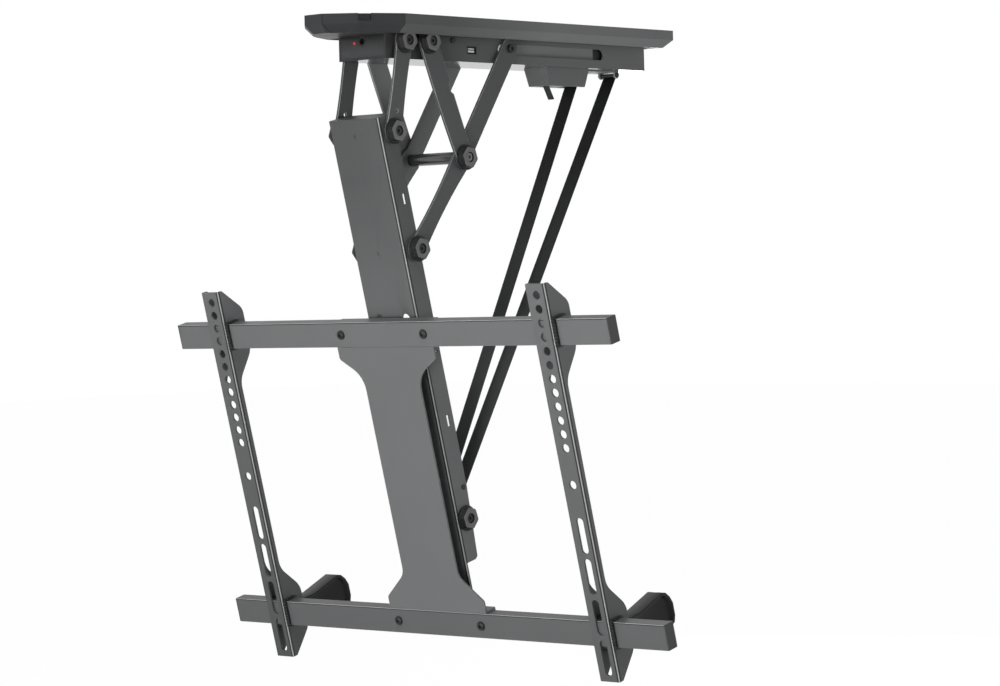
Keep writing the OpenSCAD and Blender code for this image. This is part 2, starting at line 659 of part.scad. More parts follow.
notch_share = 0.43;
middle_taper = 2;
middle_crown = 1.5;
module middle_link() difference() {
    union() {
        pin_x(rear_pivot, outer_link_x, link_t, middle_link_w / 2);
        pin_x(mid_pivot, outer_link_x, link_t, (middle_link_w - middle_taper) / 2);
        difference() {
            side_plate(outer_link_x, link_t) link_shape(rear_pivot, mid_pivot, middle_link_w,
                middle_link_w - middle_taper, 0, -middle_crown);
            pin_x(notch_centre, outer_link_x - cut, link_t + 2 * cut, 2.2 * middle_notch);
        }
    }
    link_holes([rear_pivot, mid_pivot], outer_link_x);
}
middle_dir = unit(mid_pivot - rear_pivot);
notch_centre = lerp(rear_pivot, mid_pivot, notch_share)
    + [-middle_dir[1], middle_dir[0]] * (middle_link_w / 2 + 1.2 * middle_notch);
module middle_link_left() color(steel_grey) mirror([1, 0, 0]) middle_link();
module middle_link_right() color(steel_grey) middle_link();
module cross_rod() color([0.2, 0.2, 0.21]) {
    rod_end = inner_link_x - fit_gap;
    pin_x(mid_pivot, -rod_end, 2 * rod_end, cross_rod_d / 2);
    both() pivot_bolt(mid_pivot, rod_end - cut, outer_cap_x);
}
module cross_rod_caps() color(black_plastic) both() cap(mid_pivot, outer_cap_x);

module long_link() difference() {
    union() {
        for (p = [slide_pin, low_pivot]) pin_x(p, inner_link_x, link_t, long_link_w / 2);
        pin_x(mid_pivot, inner_link_x, link_t, cap_d / 2);
        side_plate(inner_link_x, link_t)
            link_shape(slide_pin, mid_pivot, long_link_w, long_link_w, 0, 0);
        side_plate(inner_link_x, link_t)
            link_shape(mid_pivot, low_pivot, cap_d, long_link_w, long_link_waist, long_link_waist);
    }
    link_holes([slide_pin, mid_pivot, low_pivot], inner_link_x);
}
module long_link_left() color(steel_grey) mirror([1, 0, 0]) long_link();
module long_link_right() color(steel_grey) long_link();
guide_head_d = 9.5;
module guide_screws() color(bolt_black) both() difference() {
    union() {
        pin_x(slide_pin, inner_link_x + run_gap, link_t, bolt_d / 2);
        pin_x(slide_pin, inner_link_x + link_t + run_gap, guide_head_d / 3, guide_head_d / 2);
    }
    pin_x(slide_pin, inner_link_x + link_t + guide_head_d / 6, guide_head_d, socket_d / 2, 6);
}
block_lead_y = slot_y + slot_h / 2 + fit_gap;
module guide_blocks() color([0.85, 0.85, 0.83]) both()
    hull_slot(rail_x + rail_t + fit_gap, (housing_x + inner_link_x) / 2 - rail_x - rail_t - fit_gap,
        block_lead_y, slide_pin_y, -slot_drop, slot_h / 2 - fit_gap);

// Column

column_top = upper_pivot_h + column_lip;
face_bottom = bar_pitch / 2 + face_lip;
small_screw_h = -20;
small_screw_shift = 1;
flange_slot_h = 305.5;
flange_slot_l = 13;
flange_slot_w = 4.6;
flange_taper = 6;
flange_hole_h = 134;
column_back = column_setback + column_depth;
module column_channel() color(steel_grey) on_column() difference() {
    union() {
        difference() {
            box([-column_x, column_setback, -flange_bottom], [column_x, column_back, column_top]);
            box([-column_x + column_t, column_setback + column_t, -flange_bottom - cut],
                [column_x - column_t, column_back + cut, column_top - column_t]);
            // Slanted rear edge at the foot of the flanges, with a rounded corner
            side_plate(-column_w, 2 * column_w) polygon([[column_back + cut, small_screw_h],
                [column_back, small_screw_h],
                [column_back - flange_taper + column_t / 2, column_t - flange_bottom],
                [column_back - flange_taper - column_t, -flange_bottom],
                [column_back - flange_taper - column_t, -flange_bottom - cut],
                [column_back + cut, -flange_bottom - cut]]);
        }
        box([-column_x, column_setback, -face_bottom],
            [column_x, column_setback + column_t, -flange_bottom]);
    }
    both() for (p = [[pivot_setback, lower_pivot_h], [roller_setback, roller_h]])
        pin_x(p, column_x - column_t - cut, column_t + 2 * cut, bolt_d / 2 + run_gap);
    both() pin_x([pivot_setback, upper_pivot_h], column_x - column_t - cut, column_t + 2 * cut, bolt_d / 2);
    both() pin_x([pivot_setback + small_screw_shift, small_screw_h], column_x - column_t - cut,
        column_t + 2 * cut, screw_d / 2);
    both() pin_x([pivot_setback + screw_d / 2, flange_hole_h], column_x - column_t - cut,
        column_t + 2 * cut, screw_d * 0.4);
    flange_slot_d = pivot_setback - small_screw_shift;
    both() for (h = [flange_slot_h, flange_slot_h - lower_pivot_h])
        box([column_x - column_t - cut, flange_slot_d - flange_slot_w / 2, h - flange_slot_l / 2],
            [column_x + cut, flange_slot_d + flange_slot_w / 2, h + flange_slot_l / 2]);
    for (x = [-1, 1])
        translate([x * column_w * 0.27, column_setback - cut, bar_pitch / 2 + bar_h / 2 - face_hole_r / 2])
            rotate([-90, 0, 0]) cylinder(h = column_t + 2 * cut, r = face_hole_r);
    for (h = [upper_pivot_h, lower_pivot_h]) translate([-dimple_r, column_setback - cut, h])
        rotate([-90, 0, 0]) cylinder(h = column_t / 2 + cut, r = dimple_r);
}
face_hole_r = 6;
dimple_r = 2;
module column_bolts() color(bolt_black) both()
    pivot_bolt(low_pivot, column_x - column_t - bolt_d / 2, inner_cap_x);
module column_caps() color(black_plastic) both() cap(low_pivot, inner_cap_x);
roller_r = 8;
roller_rim = 2;
module belt_roller() color([0.3, 0.3, 0.3]) difference() {
    union() {
        pin_x(roller_axle, -belt_w / 2 - belt_side, belt_w + 2 * belt_side, roller_r);
        both() pin_x(roller_axle, belt_w / 2 + belt_side, roller_rim, roller_r + roller_rim);
    }
    pin_x(roller_axle, -belt_w, 2 * belt_w, bolt_d / 2 + run_gap);
}
module roller_axle() color(bolt_black) {
    pin_x(roller_axle, -column_x, column_w, bolt_d / 2);
    both() pivot_bolt(roller_axle, column_x - cut, column_cap_x);
    spacer_x = belt_w / 2 + belt_side + roller_rim + fit_gap;
    both() difference() {
        pin_x(roller_axle, spacer_x, column_x - column_t - spacer_x, bolt_d * 0.7);
        pin_x(roller_axle, 0, column_x, bolt_d / 2);
    }
}
module roller_axle_caps() color(black_plastic) both() cap(roller_axle, column_cap_x);
module column_screws() color(bolt_black) both() {
    p = on_col(pivot_setback + small_screw_shift, small_screw_h);
    pin_x(p, column_x - 2 * column_t, 2 * column_t, screw_d / 2 - run_gap);
    pin_x(p, column_x, screw_d / 4, screw_d * 0.75);
}

// Screen frame

bar_z = bar_pitch / 2;
cover_top = bar_z - bar_h / 2 - fit_gap;
tab_y = bar_d + fit_gap;
// Corners of the cover plate's right edge from its top, each as a share of its half width's
// growth from the waist, a share of its height, and its radius as a share of the plate's end width
flare_shares = [[1, 0, 0], [1, 0.045, 0.035], [0, 0.111, 0.2], [0, 0.864, 0.12], [1, 0.954, 0.035],
    [1, 1, 0]];
module cover_plate() color(steel_grey) on_column() {
    right_half = [for (s = flare_shares)
        [lerp(cover_waist_w, cover_plate_w, s[0]) / 2, lerp(cover_top, -cover_top, s[1])]];
    radii = [for (s = flare_shares) s[2] * cover_plate_w];
    translate([0, cover_plate_t + fit_gap, 0]) rotate([90, 0, 0]) linear_extrude(cover_plate_t)
        polygon(rounded(mirrored(right_half), concat(radii, [for (k = [len(radii) - 1:-1:0]) radii[k]])));
    for (s = [-1, 1]) {
        mirror([0, 0, s < 0 ? 1 : 0]) {
            box([-cover_plate_w / 2, fit_gap, cover_top - cover_plate_t],
                [cover_plate_w / 2, tab_y + cover_plate_t, cover_top]);
            tab(s);
        }
    }
    for (s = [-1, 1]) box([-column_w * 0.4, tab_y + cover_plate_t, s * bar_z - bar_h * 0.3],
        [column_w * 0.4, column_setback, s * bar_z + bar_h * 0.3]);
}
// Tab that stands behind a bar and takes its screws
module tab(s) difference() {
    box([-cover_plate_w / 2, tab_y, cover_top - cover_plate_t],
        [cover_plate_w / 2, tab_y + cover_plate_t, bar_z + bar_h / 2]);
    for (x = [-1, 1]) translate([x * bar_screw_pitch / 2, tab_y - cut, bar_z]) rotate([-90, 0, 0])
        cylinder(h = cover_plate_t + 2 * cut, r = screw_r);
}
screw_r = 2.5;
module cross_bar(z) on_column() translate([0, 0, z]) difference() {
    box([-bar_l / 2, 0, -bar_h / 2], [bar_l / 2, bar_d, bar_h / 2]);
    box([-bar_l / 2 - cut, bar_wall, -bar_h / 2 + bar_wall],
        [bar_l / 2 + cut, bar_d - bar_wall, bar_h / 2 - bar_wall]);
    for (x = [-1, 1]) translate([x * bar_screw_pitch / 2, -cut, 0]) rotate([-90, 0, 0])
        cylinder(h = bar_d + 2 * cut, r = screw_r);
}
module upper_bar() color(steel_grey) cross_bar(bar_z);
module lower_bar() color(steel_grey) cross_bar(-bar_z);
cap_depth = 14;
module bar_end_caps() color(black_plastic) on_column() for (z = [-bar_z, bar_z]) both() {
    box([bar_l / 2, 0, z - bar_h / 2], [bar_l / 2 + cap_lip, bar_d, z + bar_h / 2]);
    box([bar_l / 2 - cap_depth, bar_wall + run_gap, z - bar_h / 2 + bar_wall + run_gap],
        [bar_l / 2, bar_d - bar_wall - run_gap, z + bar_h / 2 - bar_wall - run_gap]);
}
cap_lip = 1.5;
head_r = 5.2;
head_h = 3;
bar_screw_gap = 1;
module bar_screws() color(bolt_black) on_column()
    for (x = [-1, 1], z = [-bar_z, bar_z]) translate([x * bar_screw_pitch / 2, 0, z])
        rotate([-90, 0, 0]) difference() {
            union() {
                translate([0, 0, -head_h]) cylinder(h = head_h, r1 = head_r * 0.7, r2 = head_r);
                cylinder(h = column_setback - bar_screw_gap, r = screw_r - run_gap);
            }
            for (a = [0, 90]) rotate([0, 0, a]) translate([0, 0, -head_h])
                cube([head_r, head_r / 4, head_h], center = true);
        }

// Screen brackets, drawn about their own middle and then moved out along the bars

plate_front = -bracket_t - fit_gap;
hole_edge = 12;
slot_start = 36;
first_hole = bracket_l / 2 - hole_edge;
first_slot = -slot_start - screen_slot_l / 2;
round_holes = floor((first_hole - slot_start) / screen_hole_pitch) + 1;
slotted_holes = floor((bracket_l / 2 - slot_start) / screen_slot_pitch);
web_d = 5;
left_bracket_x = left_bracket_inset - bar_l / 2;
right_bracket_x = bar_l / 2 - right_bracket_inset;
// Lobes of the side flanges round the bars, from the bracket's ends to its middle, as shares of the
// lobe's depth and of the way from the bar's middle to the bracket's end, and each corner's radius
lobe_shares = [[0.2, 1, 0.1], [1, 0.49, 1.1], [1, -0.45, 1.6], [0.24, -1, 1.6]];
// Where the lobes run out into the narrow web, as a share of the same way
web_share = -1.3;
function lobe_pts(sgn) = [for (s = lobe_shares)
    [lerp(plate_front, lobe_d, s[0]), sgn * lerp(bar_z, bracket_l / 2, s[1])]];
module bracket(x) translate([x, 0, 0]) on_column() {
    difference() {
        box([-bracket_w / 2, plate_front, -bracket_l / 2],
            [bracket_w / 2, plate_front + bracket_t, bracket_l / 2]);
        for (k = [0:round_holes - 1]) face_hole(first_hole - k * screen_hole_pitch, screen_hole_d / 2);
        face_hole(0, screen_hole_d / 2);
        for (k = [0:slotted_holes - 1]) face_slot(first_slot - k * screen_slot_pitch);
    }
    for (s = [-1, 1]) flange(s * (bracket_w - bracket_t) / 2);
}
module face_hole(z, r) translate([0, plate_front - cut, z]) rotate([-90, 0, 0])
    cylinder(h = bracket_t + 2 * cut, r = r);
module face_slot(z) {
    reach = (screen_slot_l - screen_hole_d) / 2;
    for (s = [-1, 1]) face_hole(z + s * reach, screen_hole_d / 2);
    box([-screen_hole_d / 2, plate_front - cut, z - reach],
        [screen_hole_d / 2, plate_front + bracket_t + cut, z + reach]);
}
// One side flange, with a notch that hooks over each bar
module flange(x) difference() {
    web_z = lerp(bar_z, bracket_l / 2, web_share);
    low = concat(lobe_pts(-1), [[web_d, -web_z]]);
    high = concat(lobe_pts(1), [[web_d, web_z]]);
    lobe_r = [for (s = lobe_shares) s[2] * bar_h / 2];
    outline = concat([[plate_front, -bracket_l / 2]], low, [for (k = [len(high) - 1:-1:0]) high[k]],
        [[plate_front, bracket_l / 2]]);
    radii = concat([0], lobe_r, [0, 0], [for (k = [len(lobe_r) - 1:-1:0]) lobe_r[k]], [0]);
    side_plate(x - bracket_t / 2, bracket_t) polygon(rounded(outline, radii));
    window_h = bar_h / 2 + insert_t + run_gap;
    for (s = [-1, 1]) box([x - bracket_t, plate_front + bracket_t, s * bar_z - window_h],
        [x + bracket_t, bar_d + insert_t + run_gap, s * bar_z + window_h]);
}
insert_t = 2;
insert_flare = 1;
insert_lip_w = 5;
// Black plastic liners between the bracket's notches and the bars, with a lip beside the plate
module hook_inserts(x) on_column() for (s = [-1, 1]) difference() {
    half_h = bar_h / 2 + insert_t;
    union() {
        box([x - bracket_w / 2 - insert_flare, plate_front + bracket_t + run_gap, s * bar_z - half_h],
            [x + bracket_w / 2 + insert_flare, bar_d + insert_t, s * bar_z + half_h]);
        box([x + bracket_w / 2 + fit_gap, plate_front, s * bar_z - half_h],
            [x + bracket_w / 2 + insert_lip_w, bar_d + insert_t, s * bar_z + half_h]);
    }
    box([x - bracket_w, -fit_gap, s * bar_z - bar_h / 2 - fit_gap],
        [x + bracket_w, bar_d + fit_gap, s * bar_z + bar_h / 2 + fit_gap]);
}
// Foot that meets the ceiling when the screen is folded up
foot_w = bracket_w - 2 * bracket_t - 2 * fit_gap;
foot_h = 40;
foot_start = bar_d + insert_t + fit_gap;
// Foot outline as shares of its reach and height
foot_shares = [[0, 0], [0, 0.8], [0.4, 0.8], [0.84, 1], [0.9, 0.95], [0.96, 0.8], [1, 0.6], [1, 0.25],
    [0.97, 0.06], [0.9, 0]];
module foot(x) on_column() side_plate(x - foot_w / 2, foot_w) polygon([for (s = foot_shares)
    [lerp(foot_start, foot_reach, s[0]), -bar_z - bar_h + insert_t + foot_h * s[1]]]);
module left_bracket() color(steel_grey) bracket(left_bracket_x);
module right_bracket() color(steel_grey) bracket(right_bracket_x);
module left_hook_inserts() color(bolt_black) hook_inserts(left_bracket_x);
module right_hook_inserts() color(bolt_black) hook_inserts(right_bracket_x);
module left_foot() color(black_plastic) foot(left_bracket_x);
module right_foot() color(black_plastic) foot(right_bracket_x);

// Belt runs, flat straps from the housing down to the roller

// Strap between two side-plane points
module strap(p, q) {
    u = unit(q - p);
    v = [-u[1], u[0]] * belt_t / 2;
    side_plate(-belt_w / 2, belt_w) polygon([p + v, p - v, q - v, q + v]);
}
// Point where a line from e touches a circle of radius r about c, on the side s
function touch(e, c, r, s) = let (w = e - c, d = norm(w)) c + turn(w, s * acos(r / d)) * r / d;
wrap_r = roller_r + fit_gap / 3;
belt_mid_r = wrap_r + belt_t / 2;
belt_exit = touch(roller_axle, belt_guide_at, belt_guide_d / 2 + belt_t / 2 + fit_gap / 3, 1);
front_tangent = touch(belt_exit, roller_axle, belt_mid_r, 1);
rear_top = touch(roller_axle, anchor_at, pin_d / 2 + belt_t / 2 + fit_gap / 3, 1);
rear_tangent = touch(rear_top, roller_axle, belt_mid_r, -1);
// The straps end just short of the part that lies round the roller
front_end = front_tangent + unit(belt_exit - front_tangent) * fit_gap;
rear_end = rear_tangent + unit(rear_top - rear_tangent) * fit_gap;
module belt_front_run() color(belt_black) strap(belt_exit, front_end);
module belt_rear_run() color(belt_black) strap(rear_top, rear_end);
// Part of the belt that lies round the underside of the roller, cut off where the runs touch it
wedge_share = 0.22;
module belt_wrap() color(belt_black) difference() {
    pin_x(roller_axle, -belt_w / 2, belt_w, wrap_r + belt_t);
    pin_x(roller_axle, -belt_w, 2 * belt_w, wrap_r);
    side_plate(-belt_w, 2 * belt_w) polygon([roller_axle, 2 * front_tangent - roller_axle,
        2 * front_tangent - roller_axle + (belt_exit - front_tangent) * wedge_share,
        2 * rear_tangent - roller_axle + (rear_top - rear_tangent) * wedge_share,
        2 * rear_tangent - roller_axle]);
}

ceiling_plate();
nose_cover();
front_cover();
rear_cover();
cable_plugs();
housing_channel();
front_panel();
rear_panel();
dc_jack();
power_led();
usb_port();
control_board();
housing_screws();
guide_rails();
gear_motor();
bearing_bracket();
drum_shaft();
belt_drum();
belt_winding();
switch_shroud();
belt_guide();
limit_switch();
limit_lever();
belt_anchor();
anchor_pin();
fixed_pivot_bolts();
fixed_pivot_caps();
pivot_washers();
front_links();
front_link_bolts();
front_link_caps();
middle_link_left();
middle_link_right();
cross_rod();
cross_rod_caps();
long_link_left();
long_link_right();
guide_screws();
guide_blocks();
column_channel();
column_bolts();
column_caps();
belt_roller();
roller_axle();
roller_axle_caps();
column_screws();
cover_plate();
upper_bar();
lower_bar();
bar_end_caps();
bar_screws();
left_bracket();
left_hook_inserts();
left_foot();
right_bracket();
right_hook_inserts();
right_foot();
belt_front_run();
belt_rear_run();
belt_wrap();
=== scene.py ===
# %% [markdown]
# # A motorized ceiling mount in Blender
# The object folds a flat screen up under the ceiling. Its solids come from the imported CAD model,
# which stands still here: every piece that is added sits where the solids say, in metres.
# The camera comes first, because it decides which details the photograph's view shows.

# %% Frame
import json
import math

import bmesh
import bpy
import numpy as np
from mathutils import Matrix, Vector


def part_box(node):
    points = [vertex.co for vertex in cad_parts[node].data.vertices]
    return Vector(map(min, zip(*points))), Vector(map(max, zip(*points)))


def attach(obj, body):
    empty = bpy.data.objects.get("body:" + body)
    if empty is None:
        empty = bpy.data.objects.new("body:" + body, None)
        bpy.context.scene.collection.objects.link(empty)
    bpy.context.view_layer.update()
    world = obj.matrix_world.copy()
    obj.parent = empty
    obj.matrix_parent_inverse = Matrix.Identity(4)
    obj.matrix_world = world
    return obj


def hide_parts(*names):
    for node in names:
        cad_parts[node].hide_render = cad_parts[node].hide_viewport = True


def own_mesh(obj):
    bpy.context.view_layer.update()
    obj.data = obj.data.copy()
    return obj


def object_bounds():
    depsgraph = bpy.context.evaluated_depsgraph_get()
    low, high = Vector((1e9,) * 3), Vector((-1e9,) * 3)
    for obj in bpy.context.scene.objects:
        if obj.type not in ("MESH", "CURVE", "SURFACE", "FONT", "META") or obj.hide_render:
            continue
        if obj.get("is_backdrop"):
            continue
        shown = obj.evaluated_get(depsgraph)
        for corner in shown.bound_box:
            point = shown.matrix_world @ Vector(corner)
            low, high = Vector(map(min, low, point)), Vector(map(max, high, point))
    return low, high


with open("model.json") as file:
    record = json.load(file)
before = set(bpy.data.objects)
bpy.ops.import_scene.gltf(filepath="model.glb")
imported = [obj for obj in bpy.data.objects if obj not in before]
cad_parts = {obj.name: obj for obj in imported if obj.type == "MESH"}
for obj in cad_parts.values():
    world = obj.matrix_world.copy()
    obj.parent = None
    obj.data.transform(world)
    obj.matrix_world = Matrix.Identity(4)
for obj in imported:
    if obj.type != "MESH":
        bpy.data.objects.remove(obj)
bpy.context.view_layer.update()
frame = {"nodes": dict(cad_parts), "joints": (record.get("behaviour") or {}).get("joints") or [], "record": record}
nodes = frame["nodes"]
MM = 0.001

# %% [markdown]
# ## Camera
# The photograph was taken from far off with a long lens, from the screen's side and well to its
# right. The angles, distances and shifts were fitted to edges and pivots of the picture.

# %% Camera
AZIMUTH, ELEVATION, ROLL = math.radians(41.5), math.radians(0.12), math.radians(-1.525)
AIM, DISTANCE = Vector((0, -0.176, -0.3277)), 3.506
MOVE_RIGHT, MOVE_UP = 0.1465, 0.0457
SENSOR_MM, FOCAL_PX, PICTURE_W_PX, FAR_CLIP = 36, 3246.9, 1000, 60
forward = Vector((
    -math.sin(AZIMUTH) * math.cos(ELEVATION),
    math.cos(AZIMUTH) * math.cos(ELEVATION),
    math.sin(ELEVATION),
))
level_right = Vector((math.cos(AZIMUTH), math.sin(AZIMUTH), 0))
level_up = level_right.cross(forward)
right = level_right * math.cos(ROLL) + level_up * math.sin(ROLL)
up = level_up * math.cos(ROLL) - level_right * math.sin(ROLL)
bpy.ops.object.camera_add()
camera = bpy.context.object
camera.name = "photo_camera"
camera.data.sensor_width = SENSOR_MM
camera.data.lens = FOCAL_PX / PICTURE_W_PX * SENSOR_MM
camera.data.shift_x, camera.data.shift_y = -0.0148, -0.0638
camera.data.clip_end = FAR_CLIP
turn = Matrix((right, up, -forward)).transposed().to_4x4()
stand = AIM - DISTANCE * forward + MOVE_RIGHT * right + MOVE_UP * up
camera.matrix_world = Matrix.Translation(stand) @ turn
bpy.context.scene.camera = camera
print("camera at", tuple(round(v, 3) for v in camera.location))

# %% [markdown]
# ## Light, floor and backdrop
# A plain white studio. A dim even world lights it, which the camera and mirrors see as white. A
# large soft key stands on the screen's side, with weaker soft lamps in front, above, beside and
# behind. The floor is pale and lies below the mount, which hangs from a ceiling nobody sees.

# %% Studio
SKY_COLOR, SKY_STRENGTH = (0.96, 0.98, 1, 1), 0.16
scene = bpy.context.scene
scene.view_settings.view_transform = "Standard"
world = bpy.data.worlds.new("studio")
scene.world = world
world.use_nodes = True
sky = world.node_tree
sky.nodes.clear()
sky_out = sky.nodes.new("ShaderNodeOutputWorld")
sky_mix = sky.nodes.new("ShaderNodeMixShader")
sky_paths = sky.nodes.new("ShaderNodeLightPath")
sky_seen = sky.nodes.new("ShaderNodeMath")
sky_seen.operation = "MAXIMUM"
sky_clear = sky.nodes.new("ShaderNodeMath")
sky_clear.operation = "MAXIMUM"
sky_light = sky.nodes.new("ShaderNodeBackground")
sky_shown = sky.nodes.new("ShaderNodeBackground")
sky_light.inputs["Color"].default_value = SKY_COLOR
sky_light.inputs["Strength"].default_value = SKY_STRENGTH
sky_shown.inputs["Strength"].default_value = 1.0
sky_shown.inputs["Color"].default_value = (1, 1, 1, 1)
sky.links.new(sky_paths.outputs["Is Camera Ray"], sky_seen.inputs[0])
sky.links.new(sky_paths.outputs["Is Glossy Ray"], sky_clear.inputs[0])
sky.links.new(sky_paths.outputs["Is Transmission Ray"], sky_clear.inputs[1])
sky.links.new(sky_clear.outputs[0], sky_seen.inputs[1])
sky.links.new(sky_seen.outputs[0], sky_mix.inputs["Fac"])
sky.links.new(sky_light.outputs[0], sky_mix.inputs[1])
sky.links.new(sky_shown.outputs[0], sky_mix.inputs[2])
sky.links.new(sky_mix.outputs[0], sky_out.inputs["Surface"])


def softbox(name, place, aim, size, watts):
    """A square area lamp at place that faces aim."""
    bpy.ops.object.light_add(type="AREA", location=place)
    lamp = bpy.context.object
    lamp.name = name
    lamp.data.size = size
    lamp.data.energy = watts
    lamp.rotation_mode = "QUATERNION"
    lamp.rotation_quaternion = (Vector(aim) - Vector(place)).to_track_quat("-Z", "Y")
    return lamp


softbox("key", (0.75, -2.1, -0.75), (0, -0.15, -0.45), 0.7, 31)
softbox("front_fill", (-0.9, -2.4, -0.8), (0, -0.15, -0.5), 0.8, 14)
softbox("overhead", (0.5, -1.3, 1.5), (0, -0.1, -0.4), 0.8, 18)
softbox("side", (1.3, 0.3, -0.25), (0, 0.05, -0.25), 0.5, 2.6)
softbox("rear", (-1.2, 2.6, -0.2), (0, 0, -0.35), 1.2, 26)

# %% [markdown]
# ## Shared shader groups
# Coats, plastics and metals share two effects: a fine grain that catches the light, and a faint
# cloudiness with lighter wear. A third group paints light and shade: a painted highlight on a fold
# between two painted shade lines, and painted shade that darkens a piece along it. Each finish sets
# its values.


# %% Group helpers
COARSE_SCALE, COARSE_SHARE = 160.0, 0.3
CLOUD_DETAIL, CLOUD_ROUGHNESS, CLOUD_LOW, CLOUD_HIGH = 5.0, 0.62, 0.38, 0.72


def new_group(name, inputs, outputs):
    """An empty shader group: inputs are numbers, vectors or colours, outputs name their kind."""
    group = bpy.data.node_groups.new(name, "ShaderNodeTree")
    kinds = {1: "NodeSocketFloat", 3: "NodeSocketVector", 4: "NodeSocketColor"}
    for label, value in inputs.items():
        count = len(value) if isinstance(value, tuple) else 1
        socket = group.interface.new_socket(label, in_out="INPUT", socket_type=kinds[count])
        socket.default_value = value
    for label, kind in outputs.items():
        group.interface.new_socket(label, in_out="OUTPUT", socket_type=kind)
    return group, group.nodes.new("NodeGroupInput"), group.nodes.new("NodeGroupOutput")


def grain_group():
    """Fine height grain and its own mask, from two noises at Scale."""
    group, given, result = new_group(
        "fine_grain", {"Scale": 900.0, "Stretch": 1.0},
        {"Height": "NodeSocketFloat", "Mask": "NodeSocketFloat"})
    place = group.nodes.new("ShaderNodeTexCoord")
    squeeze = group.nodes.new("ShaderNodeCombineXYZ")
    scaled = group.nodes.new("ShaderNodeVectorMath")
    scaled.operation = "MULTIPLY"
    fine = group.nodes.new("ShaderNodeTexNoise")
    coarse = group.nodes.new("ShaderNodeTexNoise")
    fine.inputs["Detail"].default_value = 3.0
    coarse.inputs["Scale"].default_value = COARSE_SCALE
    coarse.inputs["Detail"].default_value = 2.0
    blend = group.nodes.new("ShaderNodeMath")
    blend.operation = "MULTIPLY_ADD"
    blend.inputs[1].default_value = COARSE_SHARE
    link = group.links.new
    squeeze.inputs["Y"].default_value = 1.0
    squeeze.inputs["Z"].default_value = 1.0
    link(given.outputs["Stretch"], squeeze.inputs["X"])
    link(place.outputs["Object"], scaled.inputs[0])
    link(squeeze.outputs[0], scaled.inputs[1])
    link(scaled.outputs[0], fine.inputs["Vector"])
    link(scaled.outputs[0], coarse.inputs["Vector"])
    link(given.outputs["Scale"], fine.inputs["Scale"])
    link(coarse.outputs["Fac"], blend.inputs[0])
    link(fine.outputs["Fac"], blend.inputs[2])
    link(blend.outputs[0], result.inputs["Height"])
    link(fine.outputs["Fac"], result.inputs["Mask"])
    return group


def wear_group():
    """Cloudy colour between Base and Worn, and a roughness that follows the clouds."""
    group, given, result = new_group(
        "soft_wear",
        {"Base": (0.1, 0.1, 0.1, 1), "Worn": (0.2, 0.2, 0.2, 1), "Amount": 0.3, "Scale": 14.0,
         "Rough": 0.45, "Rough spread": 0.08},
        {"Color": "NodeSocketColor", "Roughness": "NodeSocketFloat"})
    place = group.nodes.new("ShaderNodeTexCoord")
    clouds = group.nodes.new("ShaderNodeTexNoise")
    clouds.inputs["Detail"].default_value = CLOUD_DETAIL
    clouds.inputs["Roughness"].default_value = CLOUD_ROUGHNESS
    ramp = group.nodes.new("ShaderNodeMapRange")
    ramp.inputs["From Min"].default_value = CLOUD_LOW
    ramp.inputs["From Max"].default_value = CLOUD_HIGH
    share = group.nodes.new("ShaderNodeMath")
    share.operation = "MULTIPLY"
    mix = group.nodes.new("ShaderNodeMix")
    mix.data_type = "RGBA"
    rough = group.nodes.new("ShaderNodeMath")
    rough.operation = "MULTIPLY_ADD"
    link = group.links.new
    link(place.outputs["Object"], clouds.inputs["Vector"])
    link(given.outputs["Scale"], clouds.inputs["Scale"])
    link(clouds.outputs["Fac"], ramp.inputs["Value"])
    link(ramp.outputs[0], share.inputs[0])
    link(given.outputs["Amount"], share.inputs[1])
    link(share.outputs[0], mix.inputs[0])
    link(given.outputs["Base"], mix.inputs[6])
    link(given.outputs["Worn"], mix.inputs[7])
    link(ramp.outputs[0], rough.inputs[0])
    link(given.outputs["Rough spread"], rough.inputs[1])
    link(given.outputs["Rough"], rough.inputs[2])
    link(mix.outputs[2], result.inputs["Color"])
    link(rough.outputs[0], result.inputs["Roughness"])
    return group


# %% Fold group
LINE_BLUR = 0.0002


